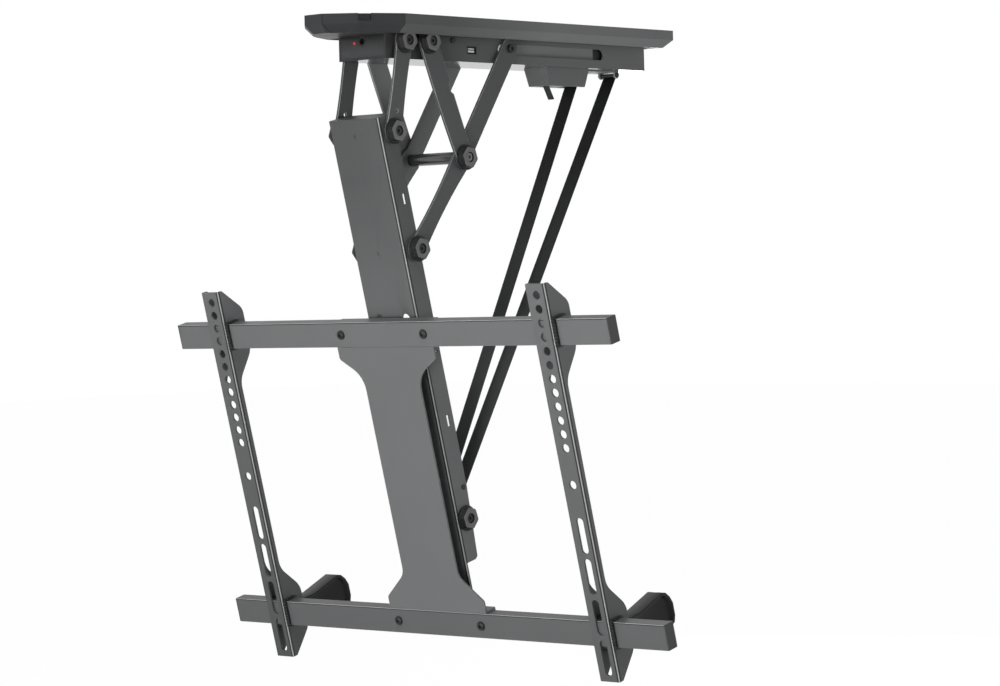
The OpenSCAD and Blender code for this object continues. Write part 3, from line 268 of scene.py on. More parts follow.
def fold_group():
    """Painted light on folded sheet: a painted highlight on the fold between two painted shade lines, and painted
    shade that darkens slowly along the piece.
    """
    group, given, result = new_group(
        "painted_fold_light",
        {"Base": (0.1, 0.1, 0.1, 1), "Line": (0.4, 0.4, 0.4, 1), "Shade": (0.02, 0.02, 0.02, 1),
         "Centre": (0.0, 0.0, 0.0), "Turn": (0.0, 0.0, 0.0), "Half": 1.0, "Upright": 0.0,
         "Line width": 0.0009, "Shade width": 0.0021,
         "Fade": 0.0, "Fade from": 0.0, "Fade to": 1.0},
        {"Color": "NodeSocketColor"})
    link = group.links.new
    place = group.nodes.new("ShaderNodeTexCoord")
    turned = group.nodes.new("ShaderNodeMapping")
    turned.vector_type = "TEXTURE"
    split = group.nodes.new("ShaderNodeSeparateXYZ")
    link(place.outputs["Object"], turned.inputs["Vector"])
    link(given.outputs["Centre"], turned.inputs["Location"])
    link(given.outputs["Turn"], turned.inputs["Rotation"])
    link(turned.outputs[0], split.inputs[0])

    def sums(operation, first, second=None):
        """Output of a Math node on one or two values."""
        node = group.nodes.new("ShaderNodeMath")
        node.operation = operation
        link(first, node.inputs[0])
        if second is not None:
            link(second, node.inputs[1])
        return node.outputs[0]

    across = group.nodes.new("ShaderNodeMix")
    link(given.outputs["Upright"], across.inputs[0])
    link(split.outputs["X"], across.inputs[2])
    link(split.outputs["Z"], across.inputs[3])
    inward = sums("SUBTRACT", given.outputs["Half"], across.outputs[0])
    from_fold = sums("ADD", inward, sums("ABSOLUTE", split.outputs["Y"]))

    def near(width):
        """1 within a width of the fold, and 0 beyond it."""
        edge = sums("SUBTRACT", from_fold, width)
        soft = group.nodes.new("ShaderNodeMapRange")
        soft.inputs["From Min"].default_value = LINE_BLUR
        soft.inputs["From Max"].default_value = -LINE_BLUR
        link(edge, soft.inputs["Value"])
        return soft.outputs[0]

    fade = group.nodes.new("ShaderNodeMapRange")
    link(split.outputs["Z"], fade.inputs["Value"])
    link(given.outputs["Fade from"], fade.inputs["From Min"])
    link(given.outputs["Fade to"], fade.inputs["From Max"])
    color = given.outputs["Base"]
    # Painted shade along the piece, then painted shade lines beside the fold, then the painted highlight on it
    for share, other in (
        (sums("MULTIPLY", fade.outputs[0], given.outputs["Fade"]), None),
        (near(given.outputs["Shade width"]), "Shade"),
        (near(given.outputs["Line width"]), "Line"),
    ):
        mix = group.nodes.new("ShaderNodeMix")
        mix.data_type = "RGBA"
        link(share, mix.inputs[0])
        link(color, mix.inputs[6])
        if other is None:
            mix.inputs[7].default_value = (0, 0, 0, 1)
        else:
            link(given.outputs[other], mix.inputs[7])
        color = mix.outputs[2]
    link(color, result.inputs["Color"])
    return group


GRAIN, WEAR, FOLD = grain_group(), wear_group(), fold_group()
print("groups", GRAIN.name, WEAR.name, FOLD.name)

# %% [markdown]
# ## Finishes
# The steel is powder coated in a satin dark grey, the caps and covers are moulded plastic, the
# bolts are blackened, and the hidden plates are bare zinc. One function makes them all from
# their colour, gloss and grain, so that they stay a family.


# %% Finish maker
def finish(name, color, worn, rough, grain=900.0, stretch=1.0, bump=0.08, depth=0.00004,
           metal=0.0, amount=0.3, clouds=14.0, specular=0.5):
    """A Principled finish whose colour, roughness and normal come from the shared groups."""
    material = bpy.data.materials.new(name)
    material.use_nodes = True
    tree = material.node_tree
    shader = tree.nodes["Principled BSDF"]
    shader.inputs["Metallic"].default_value = metal
    shader.inputs["Specular IOR Level"].default_value = specular
    wear = tree.nodes.new("ShaderNodeGroup")
    wear.node_tree = WEAR
    wear.inputs["Base"].default_value = (*color, 1)
    wear.inputs["Worn"].default_value = (*worn, 1)
    wear.inputs["Amount"].default_value = amount
    wear.inputs["Scale"].default_value = clouds
    wear.inputs["Rough"].default_value = rough
    fine = tree.nodes.new("ShaderNodeGroup")
    fine.node_tree = GRAIN
    fine.inputs["Scale"].default_value = grain
    fine.inputs["Stretch"].default_value = stretch
    relief = tree.nodes.new("ShaderNodeBump")
    relief.inputs["Strength"].default_value = bump
    relief.inputs["Distance"].default_value = depth
    tree.links.new(wear.outputs["Color"], shader.inputs["Base Color"])
    tree.links.new(wear.outputs["Roughness"], shader.inputs["Roughness"])
    tree.links.new(fine.outputs["Height"], relief.inputs["Height"])
    tree.links.new(relief.outputs["Normal"], shader.inputs["Normal"])
    return material


def folded(material, name, **values):
    """A copy of a finish whose colour goes through the group of painted fold highlight and painted shade, with
    these values.
    """
    sheet = material.copy()
    sheet.name = name
    tree = sheet.node_tree
    shader = tree.nodes["Principled BSDF"]
    source = shader.inputs["Base Color"].links[0].from_socket
    folds = tree.nodes.new("ShaderNodeGroup")
    folds.node_tree = FOLD
    for label, value in values.items():
        folds.inputs[label.replace("_", " ")].default_value = value
    tree.links.new(source, folds.inputs["Base"])
    tree.links.new(folds.outputs["Color"], shader.inputs["Base Color"])
    return sheet


# %% Finishes
COATED = {"grain": 1400, "bump": 0.4, "depth": 0.00005, "specular": 0.2}
MOULDED = {"bump": 0.35, "depth": 0.00007, "amount": 0.4, "specular": 0.2}
powder = finish(
    "powder_grey", (0.128, 0.131, 0.132), (0.15, 0.152, 0.153), 0.4, clouds=9, **COATED)
housing_coat = finish(
    "housing_coat", (0.13, 0.132, 0.133), (0.145, 0.147, 0.148), 0.36,
    amount=0.35, clouds=8, **COATED)
# The near links' grey steel, darker than the column's: painted shade
link_painted_shade = finish(
    "link_painted_shade", (0.07, 0.072, 0.073), (0.085, 0.087, 0.088), 0.36,
    clouds=9, **{**COATED, "specular": 0.22})
rail_coat = finish(
    "rail_coat", (0.2, 0.202, 0.203), (0.22, 0.222, 0.223), 0.38, clouds=9, **COATED)
# The far links' grey steel, lighter than the near links': painted light
far_link_painted_light = finish(
    "back_link_painted_light", (0.2, 0.203, 0.205), (0.22, 0.223, 0.225), 0.38, clouds=9, **COATED)
# A lighter copy of the grey for bevel faces: a painted highlight along the edges
edge_highlight_paint = finish(
    "painted_edge_highlight", (0.26, 0.263, 0.265), (0.36, 0.363, 0.365), 0.3,
    grain=1400, bump=0.3, amount=0.5, clouds=40, specular=0.4)
canopy_coat = finish(
    "canopy_coat", (0.145, 0.148, 0.149), (0.165, 0.168, 0.169), 0.4,
    grain=1100, bump=0.4, depth=0.00006, clouds=8, specular=0.2)
cover_black = finish(
    "cover_black", (0.026, 0.027, 0.028), (0.038, 0.039, 0.04), 0.42,
    bump=0.45, depth=0.00007, amount=0.4, clouds=12, specular=0.18)
black = finish(
    "moulded_black", (0.009, 0.009, 0.01), (0.018, 0.018, 0.019), 0.34,
    grain=700, clouds=20, **{**MOULDED, "specular": 0.16})
cap_grey = finish(
    "cap_face_grey", (0.13, 0.13, 0.132), (0.17, 0.17, 0.172), 0.45, clouds=30, **MOULDED)
blackened = finish(
    "blackened_steel", (0.02, 0.02, 0.021), (0.05, 0.05, 0.05), 0.3,
    grain=500, bump=0.3, metal=0.4, amount=0.5, clouds=60, specular=0.25)
zinc = finish(
    "zinc_steel", (0.55, 0.56, 0.57), (0.42, 0.43, 0.44), 0.32,
    grain=500, stretch=0.06, bump=0.4, metal=1.0, amount=0.4, clouds=20)
nylon = finish("white_nylon", (0.78, 0.78, 0.75), (0.66, 0.65, 0.61), 0.42, grain=600, bump=0.2)
motor_paint = finish(
    "motor_grey", (0.06, 0.06, 0.063), (0.1, 0.1, 0.1), 0.38, grain=800, bump=0.4, metal=0.3)
board = finish(
    "circuit_board", (0.02, 0.12, 0.05), (0.05, 0.2, 0.09), 0.4, grain=260, bump=0.4, clouds=120)
# The front panel's grey steel, painted darker than the rest as the canopy's shadow
panel_painted_shadow_grey = finish(
    "panel_painted_shadow_grey", (0.045, 0.046, 0.048), (0.055, 0.056, 0.058), 0.2,
    grain=300, bump=0.12, clouds=12, specular=0.25)
end_grey = finish(
    "bar_end_grey", (0.05, 0.05, 0.051), (0.07, 0.07, 0.071), 0.45, clouds=30, **MOULDED)
rod_black = finish(
    "rod_black", (0.11, 0.11, 0.112), (0.15, 0.15, 0.152), 0.2,
    bump=0.15, metal=0.5, amount=0.4, clouds=30, specular=0.6)
socket_steel = finish(
    "socket_steel", (0.55, 0.55, 0.56), (0.7, 0.7, 0.71), 0.22,
    grain=600, bump=0.15, metal=0.9, amount=0.5, clouds=60, specular=0.4)
glow = finish("red_lens", (0.35, 0.012, 0.02), (0.42, 0.02, 0.03), 0.2, grain=200, bump=0.05)
glow_shader = glow.node_tree.nodes["Principled BSDF"]
glow_shader.inputs["Emission Color"].default_value = (1, 0.05, 0.04, 1)
glow_shader.inputs["Emission Strength"].default_value = 0.3

# %% Belt finish
WEAVE_SCALE, WEAVE_STRENGTH, WEAVE_DEPTH = 5.0, 0.8, 0.0003


def belt_finish():
    """Woven polyester: crossed bands along and across the strap, in a dark grey with painted shade towards its
    top.
    """
    cloth = finish(
        "woven_cloth", (0.05, 0.052, 0.053), (0.064, 0.066, 0.067), 0.6,
        grain=1500, bump=0.25, amount=0.5, clouds=40, specular=0.12)
    # Painted shade: the belt's colour darkens towards the top
    material = folded(cloth, "woven_belt", Fade=0.84, Fade_from=-0.4, Fade_to=-0.14)
    tree = material.node_tree
    shader = tree.nodes["Principled BSDF"]
    uv = tree.nodes.new("ShaderNodeTexCoord")
    across = tree.nodes.new("ShaderNodeTexWave")
    along = tree.nodes.new("ShaderNodeTexWave")
    across.bands_direction, along.bands_direction = "X", "Y"
    across.inputs["Scale"].default_value = WEAVE_SCALE
    along.inputs["Scale"].default_value = WEAVE_SCALE
    weave = tree.nodes.new("ShaderNodeMath")
    weave.operation = "MAXIMUM"
    relief = tree.nodes.new("ShaderNodeBump")
    relief.inputs["Strength"].default_value = WEAVE_STRENGTH
    relief.inputs["Distance"].default_value = WEAVE_DEPTH
    grain = next(n for n in tree.nodes if n.bl_idname == "ShaderNodeBump")
    for wave in (across, along):
        tree.links.new(uv.outputs["UV"], wave.inputs["Vector"])
    tree.links.new(across.outputs["Fac"], weave.inputs[0])
    tree.links.new(along.outputs["Fac"], weave.inputs[1])
    tree.links.new(weave.outputs[0], relief.inputs["Height"])
    tree.links.new(grain.outputs["Normal"], relief.inputs["Normal"])
    tree.links.new(relief.outputs["Normal"], shader.inputs["Normal"])
    return material


belt_cloth = belt_finish()
print("finishes", len(bpy.data.materials))

# %% [markdown]
# ## The CAD nodes' finishes and edges
# Folded steel has small round edges that catch the light. The solids are sharp, so each CAD node
# keeps its mesh and gets live modifiers: a weld joins its loose triangles, a planar decimate
# clears the flat faces, and a narrow bevel rounds the corners. On grey steel the bevel's faces
# take a lighter grey, a painted highlight.

# %% Edges and finishes
FINISH_OF_SLOT = {
    "powder_grey": powder, "black_plastic": black, "black_steel": blackened, "zinc_steel": zinc,
    "belt": belt_cloth, "white_nylon": nylon, "board_green": board, "led_red": glow,
    "motor_grey": motor_paint,
}
EDGE_MM = {
    "powder_grey": 0.8, "black_plastic": 0.4, "black_steel": 0.25, "zinc_steel": 0.3,
    "white_nylon": 0.4, "motor_grey": 0.4, "board_green": 0.1,
}
WELD_M, FLAT_ANGLE = 0.00001, math.radians(0.5)
slot_of = {s["node"]: s["material_slot"] for s in frame["record"]["subparts"]}


def put_finish(piece, material, edge=None):
    """Gives the whole piece one finish, and its bevelled edges another one if it is named, such as the painted
    edge highlight.
    """
    piece.data.materials.clear()
    piece.data.materials.append(material)
    if edge is not None:
        piece.data.materials.append(edge)
    if "edge" in piece.modifiers:
        piece.modifiers["edge"].material = 1 if edge is not None else -1


def soften(piece, width_mm, angle=32):
    """Live weld, planar decimate and bevel that round a hard solid's edges."""
    weld = piece.modifiers.new("join", "WELD")
    weld.merge_threshold = WELD_M
    flat = piece.modifiers.new("clear_flats", "DECIMATE")
    flat.decimate_type = "DISSOLVE"
    flat.angle_limit = FLAT_ANGLE
    bevel = piece.modifiers.new("edge", "BEVEL")
    bevel.width = width_mm * MM
    bevel.segments = 3 if width_mm > 0.5 else 2
    bevel.limit_method = "ANGLE"
    bevel.angle_limit = math.radians(angle)
    bevel.harden_normals = False
    bevel.use_clamp_overlap = True


# Grey steel pieces take the painted edge highlight on their bevels
for name, piece in nodes.items():
    slot_name = slot_of[name]
    if slot_name in EDGE_MM:
        soften(piece, EDGE_MM[slot_name])
    put_finish(piece, FINISH_OF_SLOT[slot_name], edge_highlight_paint if slot_name == "powder_grey" else None)
# Near links take the painted shade grey, far links the painted light grey
FINISH_OF_NODE = {
    "front_cover": cover_black, "nose_cover": cover_black, "front_links": link_painted_shade,
    "long_link_right": link_painted_shade, "middle_link_right": link_painted_shade, "long_link_left": far_link_painted_light,
    "middle_link_left": far_link_painted_light, "usb_port": black, "cross_rod": rod_black,
    "bar_end_caps": end_grey,
}
for name, material in FINISH_OF_NODE.items():
    # Grey steel other than the covers takes the painted edge highlight
    gets_edge_highlight = slot_of[name] == "powder_grey" and "cover" not in name
    put_finish(nodes[name], material, edge_highlight_paint if gets_edge_highlight else None)
print("finished nodes", len(nodes))

# %% [markdown]
# ## Tools for modelling
# Every new piece starts as a primitive at its size, gets its shape in edit mode, and ends with its
# place in its mesh, because the pieces all share the frame's origin. What repeats is modelled once,
# and each copy gets a mesh of its own.


# %% Modelling helpers
def bare():
    """Deselects everything, so that an operator acts on one piece only."""
    bpy.ops.object.select_all(action="DESELECT")


def hold(piece):
    """Makes a piece the only one selected, and the active one."""
    bare()
    piece.select_set(True)
    bpy.context.view_layer.objects.active = piece


def open_up(piece):
    """Enters edit mode on a piece."""
    hold(piece)
    bpy.ops.object.mode_set(mode="EDIT")


def close_up():
    """Leaves edit mode."""
    bpy.ops.object.mode_set(mode="OBJECT")


def pick_faces(piece, wanted):
    """In edit mode, selects only the faces that pass the test."""
    bpy.ops.mesh.select_mode(type="FACE")
    bpy.ops.mesh.select_all(action="DESELECT")
    shape = bmesh.from_edit_mesh(piece.data)
    for face in shape.faces:
        face.select_set(bool(wanted(face)))
    bmesh.update_edit_mesh(piece.data)


def pull(x=0.0, y=0.0, z=0.0):
    """Extrudes the selected faces by a distance in millimetres."""
    bpy.ops.mesh.extrude_region_move(TRANSFORM_OT_translate={"value": (x * MM, y * MM, z * MM)})


def inset(width):
    """Insets the selected faces by a width in millimetres."""
    bpy.ops.mesh.inset(thickness=width * MM, use_even_offset=True)


def settle(piece, place=None):
    """Moves the object's own place, and then a given one, into its mesh."""
    piece.data.transform(piece.matrix_world)
    piece.matrix_world = Matrix.Identity(4)
    if place is not None:
        piece.data.transform(place)


def bake(piece):
    """Applies all the modifiers of a piece."""
    hold(piece)
    for modifier in list(piece.modifiers):
        bpy.ops.object.modifier_apply(modifier=modifier.name)


def round_off(piece, width, segments=2, angle=35):
    """Rounds a piece's edges for good by a width in millimetres."""
    bevel = piece.modifiers.new("rounded", "BEVEL")
    bevel.width = width * MM
    bevel.segments = segments
    bevel.limit_method = "ANGLE"
    bevel.angle_limit = math.radians(angle)
    bake(piece)
    hold(piece)
    bpy.ops.object.shade_smooth_by_angle(angle=math.radians(40))


def copied(piece, name, place):
    """A copy of a piece with its own mesh, moved by a matrix."""
    twin = piece.copy()
    twin.data = piece.data.copy()
    twin.name = name
    twin.data.transform(place)
    bpy.context.collection.objects.link(twin)
    return twin


def joined(pieces, name):
    """Joins pieces into the first one."""
    hold(pieces[0])
    for piece in pieces:
        piece.select_set(True)
    bpy.ops.object.join()
    pieces[0].name = name
    return pieces[0]


def node_copy(node_name, name):
    """A merged copy of a CAD node's mesh, with its flat faces whole, to be shaped further."""
    twin = bpy.data.objects.new(name, nodes[node_name].data.copy())
    bpy.context.collection.objects.link(twin)
    open_up(twin)
    bpy.ops.mesh.select_all(action="SELECT")
    bpy.ops.mesh.remove_doubles(threshold=WELD_M)
    bpy.ops.mesh.dissolve_limited(angle_limit=FLAT_ANGLE)
    close_up()
    return twin


# %% [markdown]
# ## Where things stand
# The joints give the pivots in metres, and the leaning column has a frame of its own: X across,
# then its depth behind the bars' front faces, then its height from the middle of the screen.

# %% Places
joint_at = {j["name"]: Vector(j["pos_m"]) for j in frame["joints"] if "pos_m" in j}
LEAN = math.radians(14)
PIVOT_SETBACK, LOWER_PIVOT_H = 39.5 * MM, 249.3 * MM
COLUMN = (
    Matrix.Translation(joint_at["column_fold"])
    @ Matrix.Rotation(LEAN, 4, "X")
    @ Matrix.Translation((0, -PIVOT_SETBACK, -LOWER_PIVOT_H))
)
BAR_PITCH = 329.4
BAR_Z = BAR_PITCH / 2
left_low, left_high = (Vector(c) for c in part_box("left_bracket"))
right_low, right_high = (Vector(c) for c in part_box("right_bracket"))
BRACKET_X = {"left": (left_low.x + left_high.x) / 2, "right": (right_low.x + right_high.x) / 2}
print("pivots", {k: tuple(round(c, 4) for c in v) for k, v in joint_at.items()})


def column_box(name):
    """Corners of a CAD node in the column's own frame."""
    inside = COLUMN.inverted()
    points = [inside @ v.co for v in nodes[name].data.vertices]
    return [Vector(pick(p[k] for p in points) for k in range(3)) for pick in (min, max)]


# %% [markdown]
# ## Fold lines
# Sheet that is folded sharply shows a bright line on the fold, with a dark one on each side, as
# light and shade fall on the bend. The real radius is smaller than a bevel can show, so the finish
# of each folded piece paints the highlight and the two shade lines itself, from the distance to its
# own fold. The same finish paints shade that darkens the coat along the piece.

# %% Fold lines
# Node, whether its fold lies across it, then how strong its painted shade is and between which heights
FOLDED_NODES = (
    ("column_channel", 0, 0.47, 0.1, 0.33),
    ("left_bracket", 0, 0.5, 0.3, -0.22),
    ("right_bracket", 0, 0.34, 0.26, -0.2),
    ("upper_bar", 1, 0, 0, 1),
    ("lower_bar", 1, 0.25, 1, -0.01),
)
# Widths of the painted highlight line and of the painted shade lines beside it, along a piece and across it
LINE_W, SHADE_W = (0.0009, 0.0005), (0.0031, 0.0015)
for name, upright, fade, fade_from, fade_to in FOLDED_NODES:
    low, high = column_box(name)
    middle = (low + high) / 2
    half = high.z - middle.z if upright else high.x - middle.x
    centre = COLUMN @ Vector((0 if upright else middle.x, low.y, middle.z if upright else 0))
    sheet = folded(
        powder, name + "_coat", Centre=centre, Turn=(LEAN, 0, 0), Half=half, Upright=upright,
        Fade=fade, Fade_from=fade_from, Fade_to=fade_to,
        Line_width=LINE_W[upright], Shade_width=SHADE_W[upright])
    # Besides the painted fold light, all but the brackets take the painted edge highlight on their bevels
    put_finish(nodes[name], sheet, edge_highlight_paint if "bracket" not in name else None)
    print(sheet.name, "half", round(half, 4))

# %% Coats with painted shade
# Turned by this, the group's height runs backwards along the object's depth
BACKWARDS = (math.pi / 2, 0, 0)
PANEL_FADE_ABOVE, PANEL_FADE_BELOW = 0.006, 0.016
RAIL_FADE_START, RAIL_FADE_STOP = 0.017, 0.0155
CANOPY_FADE, HOUSING_FADE = (-0.05, 0.12), (-0.077, 0.2)
UNDERSIDE_MARGIN, UNDERSIDE_ROUGH, STEP_BLUR = 0.0003, 0.12, 0.0004
channel_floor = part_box("housing_channel")[0][2]
panel_low, panel_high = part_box("front_panel")
slot_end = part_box("guide_rails")[1][1]
# Painted shadow of the canopy: the panel darkens towards its top
put_finish(nodes["front_panel"], folded(
    panel_painted_shadow_grey, "panel_painted_shadow", Fade=0.85,
    Fade_from=panel_low[2] + PANEL_FADE_ABOVE, Fade_to=panel_high[2] - PANEL_FADE_BELOW))
# Painted shade: the rear cover darkens towards the front
put_finish(nodes["rear_cover"], folded(
    canopy_coat, "canopy_painted_shade", Turn=BACKWARDS, Fade=0.5,
    Fade_from=CANOPY_FADE[0], Fade_to=CANOPY_FADE[1]))
# Painted shade: the housing darkens towards its front, under the canopy
housing_painted_shade = folded(
    housing_coat, "housing_painted_shade", Turn=BACKWARDS, Fade=0.8,
    Fade_from=HOUSING_FADE[0], Fade_to=HOUSING_FADE[1])
put_finish(nodes["housing_channel"], housing_painted_shade)
# Painted shade: the rails turn nearly black near their rear end
put_finish(nodes["guide_rails"], folded(
    rail_coat, "rail_painted_shade", Turn=BACKWARDS, Fade=0.97,
    Fade_from=RAIL_FADE_START - slot_end, Fade_to=RAIL_FADE_STOP - slot_end))


def smooth_below(material, height, rough):
    """Makes a coat smoother under a height, where it mirrors the pale room at a low angle."""
    tree = material.node_tree
    shader = tree.nodes["Principled BSDF"]
    place = tree.nodes.new("ShaderNodeTexCoord")
    split = tree.nodes.new("ShaderNodeSeparateXYZ")
    step = tree.nodes.new("ShaderNodeMapRange")
    step.inputs["From Min"].default_value = height
    step.inputs["From Max"].default_value = height + STEP_BLUR
    step.inputs["To Min"].default_value = rough
    tree.links.new(place.outputs["Object"], split.inputs[0])
    tree.links.new(split.outputs["Z"], step.inputs["Value"])
    tree.links.new(shader.inputs["Roughness"].links[0].from_socket, step.inputs["To Max"])
    tree.links.new(step.outputs[0], shader.inputs["Roughness"])


smooth_below(housing_painted_shade, channel_floor + UNDERSIDE_MARGIN, UNDERSIDE_ROUGH)
print("faded coats on the panel, the housing, the rear cover and the rails")

# %% [markdown]
# ## Pivot nuts
# Each pivot ends in a black moulded nut: a round skirt, a six-sided body with soft corners, a
# lighter face and a deep round recess that shows the bolt's end and its socket. It is made from one
# cylinder: the top is inset and pulled up, the recess is sunk in its middle with the bolt in it,
# and the body's points are moved out to six sides.

# %% One pivot nut
NUT_H, SKIRT_R, SKIRT_H = 7.5, 14.0, 2.6
FACE_FLAT, FACE_CORNER, RECESS_R = 10.9, 12.1, 5.2
BOLT_R, BOLT_RISE, SOCKET_R = 4.1, 2.4, 2.3
SHOULDER, SKIRT_FLARE, FLARE_H, NUT_TWIST = 0.5, 0.8, 1.0, 0.35
RECESS_SHARE, SOCKET_SHARE = 0.6, 0.8


def six_sided(direction, flat, corner):
    """Radius of a hexagon with cut corners in a direction, in millimetres."""
    off = (direction % math.radians(60)) - math.radians(30)
    return min(corner, flat / math.cos(off))


def pivot_nut():
    """One nut that points along +Z, with its skirt on the origin's plane."""
    bare()
    bpy.ops.mesh.primitive_cylinder_add(
        vertices=72, radius=SKIRT_R * MM, depth=SKIRT_H * MM, location=(0, 0, SKIRT_H / 2 * MM))
    nut = bpy.context.object
    settle(nut)
    open_up(nut)
    pick_faces(nut, lambda f: f.normal.z > 0.9)
    inset(SKIRT_R - FACE_CORNER - SHOULDER)
    pull(z=NUT_H - SKIRT_H)
    inset(FACE_CORNER + SHOULDER - RECESS_R)
    pull(z=-RECESS_SHARE * NUT_H)
    inset(RECESS_R - BOLT_R)
    pull(z=BOLT_RISE)
    inset(BOLT_R - SOCKET_R)
    pull(z=-SOCKET_SHARE * BOLT_RISE)
    close_up()
    for vertex in nut.data.vertices:
        reach = math.hypot(vertex.co.x, vertex.co.y)
        on_body = (RECESS_R + 1) * MM < reach < (SKIRT_R - SHOULDER) * MM
        if vertex.co.z > (SKIRT_H - 0.01) * MM and on_body:
            flare = SKIRT_FLARE if vertex.co.z < (SKIRT_H + FLARE_H) * MM else 0.0
            direction = math.atan2(vertex.co.y, vertex.co.x)
            aim = six_sided(direction, FACE_FLAT + flare, FACE_CORNER + flare)
            vertex.co.x *= aim * MM / reach
            vertex.co.y *= aim * MM / reach
    round_off(nut, 0.5, segments=2, angle=40)
    nut.data.materials.append(black)
    nut.data.materials.append(cap_grey)
    nut.data.materials.append(socket_steel)
    for face in nut.data.polygons:
        reach = math.hypot(face.center.x, face.center.y)
        if reach < BOLT_R * MM and face.center.z > 0.4 * NUT_H * MM:
            face.material_index = 2
        if face.normal.z > 0.95 and face.center.z > (NUT_H - 0.2) * MM and reach > RECESS_R * MM:
            face.material_index = 1
    return nut


nut_form = pivot_nut()
print("pivot nut faces", len(nut_form.data.polygons))

# %% All pivot nuts
inner_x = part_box("front_link_caps")[1][0] - NUT_H * MM
outer_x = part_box("cross_rod_caps")[1][0] - NUT_H * MM
axle_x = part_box("roller_axle_caps")[1][0] - NUT_H * MM
top_low, top_high = (Vector(c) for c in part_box("front_link_caps"))
top_pivot = (top_low + top_high) / 2
NUT_PLACES = {
    "fixed_pivot_caps": (
        "ceiling_unit", [(joint_at["front_fold"], inner_x), (joint_at["fold"], outer_x)]),
    "front_link_caps": ("front_links", [(top_pivot, inner_x)]),
    "cross_rod_caps": ("middle_links", [(joint_at["long_fold"], outer_x)]),
    "column_caps": ("column", [(joint_at["column_fold"], inner_x)]),
    "roller_axle_caps": ("column", [(joint_at["roller_spin"], axle_x)]),
}
for node_name, (body, places) in NUT_PLACES.items():
    nuts = []
    for pivot, base_x in places:
        for side in (-1, 1):
            twist = Matrix.Rotation(NUT_TWIST, 4, "Z")
            turned = Matrix.Rotation(side * math.pi / 2, 4, "Y") @ twist
            spot = Matrix.Translation((side * base_x, pivot.y, pivot.z))
            nuts.append(copied(nut_form, "nut", spot @ turned))
    nut_set = joined(nuts, node_name.replace("caps", "nuts"))
    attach(nut_set, body)
    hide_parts(node_name)
    print(nut_set.name, len(nut_set.data.polygons), "faces")
bpy.data.objects.remove(nut_form)

# %% [markdown]
# ## Frame screws
# Four pan head screws hold the bars. A real head is a low dome with a crossed recess. The dome is a
# cylinder whose top is pulled up and drawn in three times, and the cross is cut by a boolean.

# %% Frame screws
HEAD_R, HEAD_H, SHANK_R, SHANK_L = 5.2, 3.0, 2.45, 19.5
SCREW_PITCH, SCREW_TWIST = 123.0, 0.5
HEAD_RIM, CROSS_SHARE, ARM_SHARE, CROSS_DEPTH, CROSS_TAPER = 1.2, 1.25, 0.24, 3.6, 0.55
DOME_STEPS = ((0.9, 0.9), (0.6, 0.78), (0.3, 0.6))


def cross_cutter():
    """Two crossed wedges that cut the screw's recess."""
    arms = []
    for long_x, long_y in ((1, ARM_SHARE), (ARM_SHARE, 1)):
        bare()
        bpy.ops.mesh.primitive_cube_add(size=1, location=(0, 0, HEAD_H * MM))
        arm = bpy.context.object
        reach = CROSS_SHARE * HEAD_R * MM
        arm.scale = (reach * long_x, reach * long_y, CROSS_DEPTH * MM)
        bpy.context.view_layer.update()
        settle(arm)
        open_up(arm)
        pick_faces(arm, lambda f: f.normal.z < -0.9)
        bpy.ops.transform.resize(value=(CROSS_TAPER, CROSS_TAPER, 1))
        close_up()
        arms.append(arm)
    return arms


def pan_screw():
    """A pan head screw along +Z whose head stands on the origin's plane."""
    bare()
    bpy.ops.mesh.primitive_cylinder_add(
        vertices=32, radius=HEAD_R * MM, depth=HEAD_RIM * MM, location=(0, 0, HEAD_RIM / 2 * MM))
    screw = bpy.context.object
    settle(screw)
    open_up(screw)
    pick_faces(screw, lambda f: f.normal.z > 0.9)
    for rise, drawn in DOME_STEPS:
        pull(z=rise)
        bpy.ops.transform.resize(value=(drawn, drawn, 1))
    pick_faces(screw, lambda f: f.normal.z < -0.9)
    inset(HEAD_R - SHANK_R)
    pull(z=-SHANK_L)
    close_up()
    arms = cross_cutter()
    for arm in arms:
        cut = screw.modifiers.new("cross", "BOOLEAN")
        cut.operation = "DIFFERENCE"
        cut.solver = "EXACT"
        cut.object = arm
    bake(screw)
    for arm in arms:
        bpy.data.objects.remove(arm)
    hold(screw)
    bpy.ops.object.shade_smooth_by_angle(angle=math.radians(30))
    screw.data.materials.append(blackened)
    return screw


screw_form = pan_screw()
front_facing = Matrix.Rotation(math.pi / 2, 4, "X")
screws = []
for spin, (x, z) in enumerate(((-1, -1), (1, -1), (-1, 1), (1, 1))):
    spot = Matrix.Translation((x * SCREW_PITCH / 2 * MM, 0, z * BAR_Z * MM))
    turned = front_facing @ Matrix.Rotation(SCREW_TWIST + spin, 4, "Z")
    screws.append(copied(screw_form, "screw", COLUMN @ spot @ turned))
frame_screws = joined(screws, "frame_screws")
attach(frame_screws, "column")
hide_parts("bar_screws")
bpy.data.objects.remove(screw_form)
print("frame screws", len(frame_screws.data.polygons), "faces")

# %% [markdown]
# ## Ribs of the hook inserts
# The black liners between the brackets and the bars have a ribbed lip beside the bracket's face.
# One rib is a cube with its front drawn in, and an array sets nine of them in a row.

# %% Insert ribs
LIP_IN, LIP_OUT = 13.3, 18.0
RIB_COUNT, RIB_STEP, RIB_SHARE, RIB_PROUD, RIB_FRONT = 9, 3.55, 0.55, 0.9, 2.8


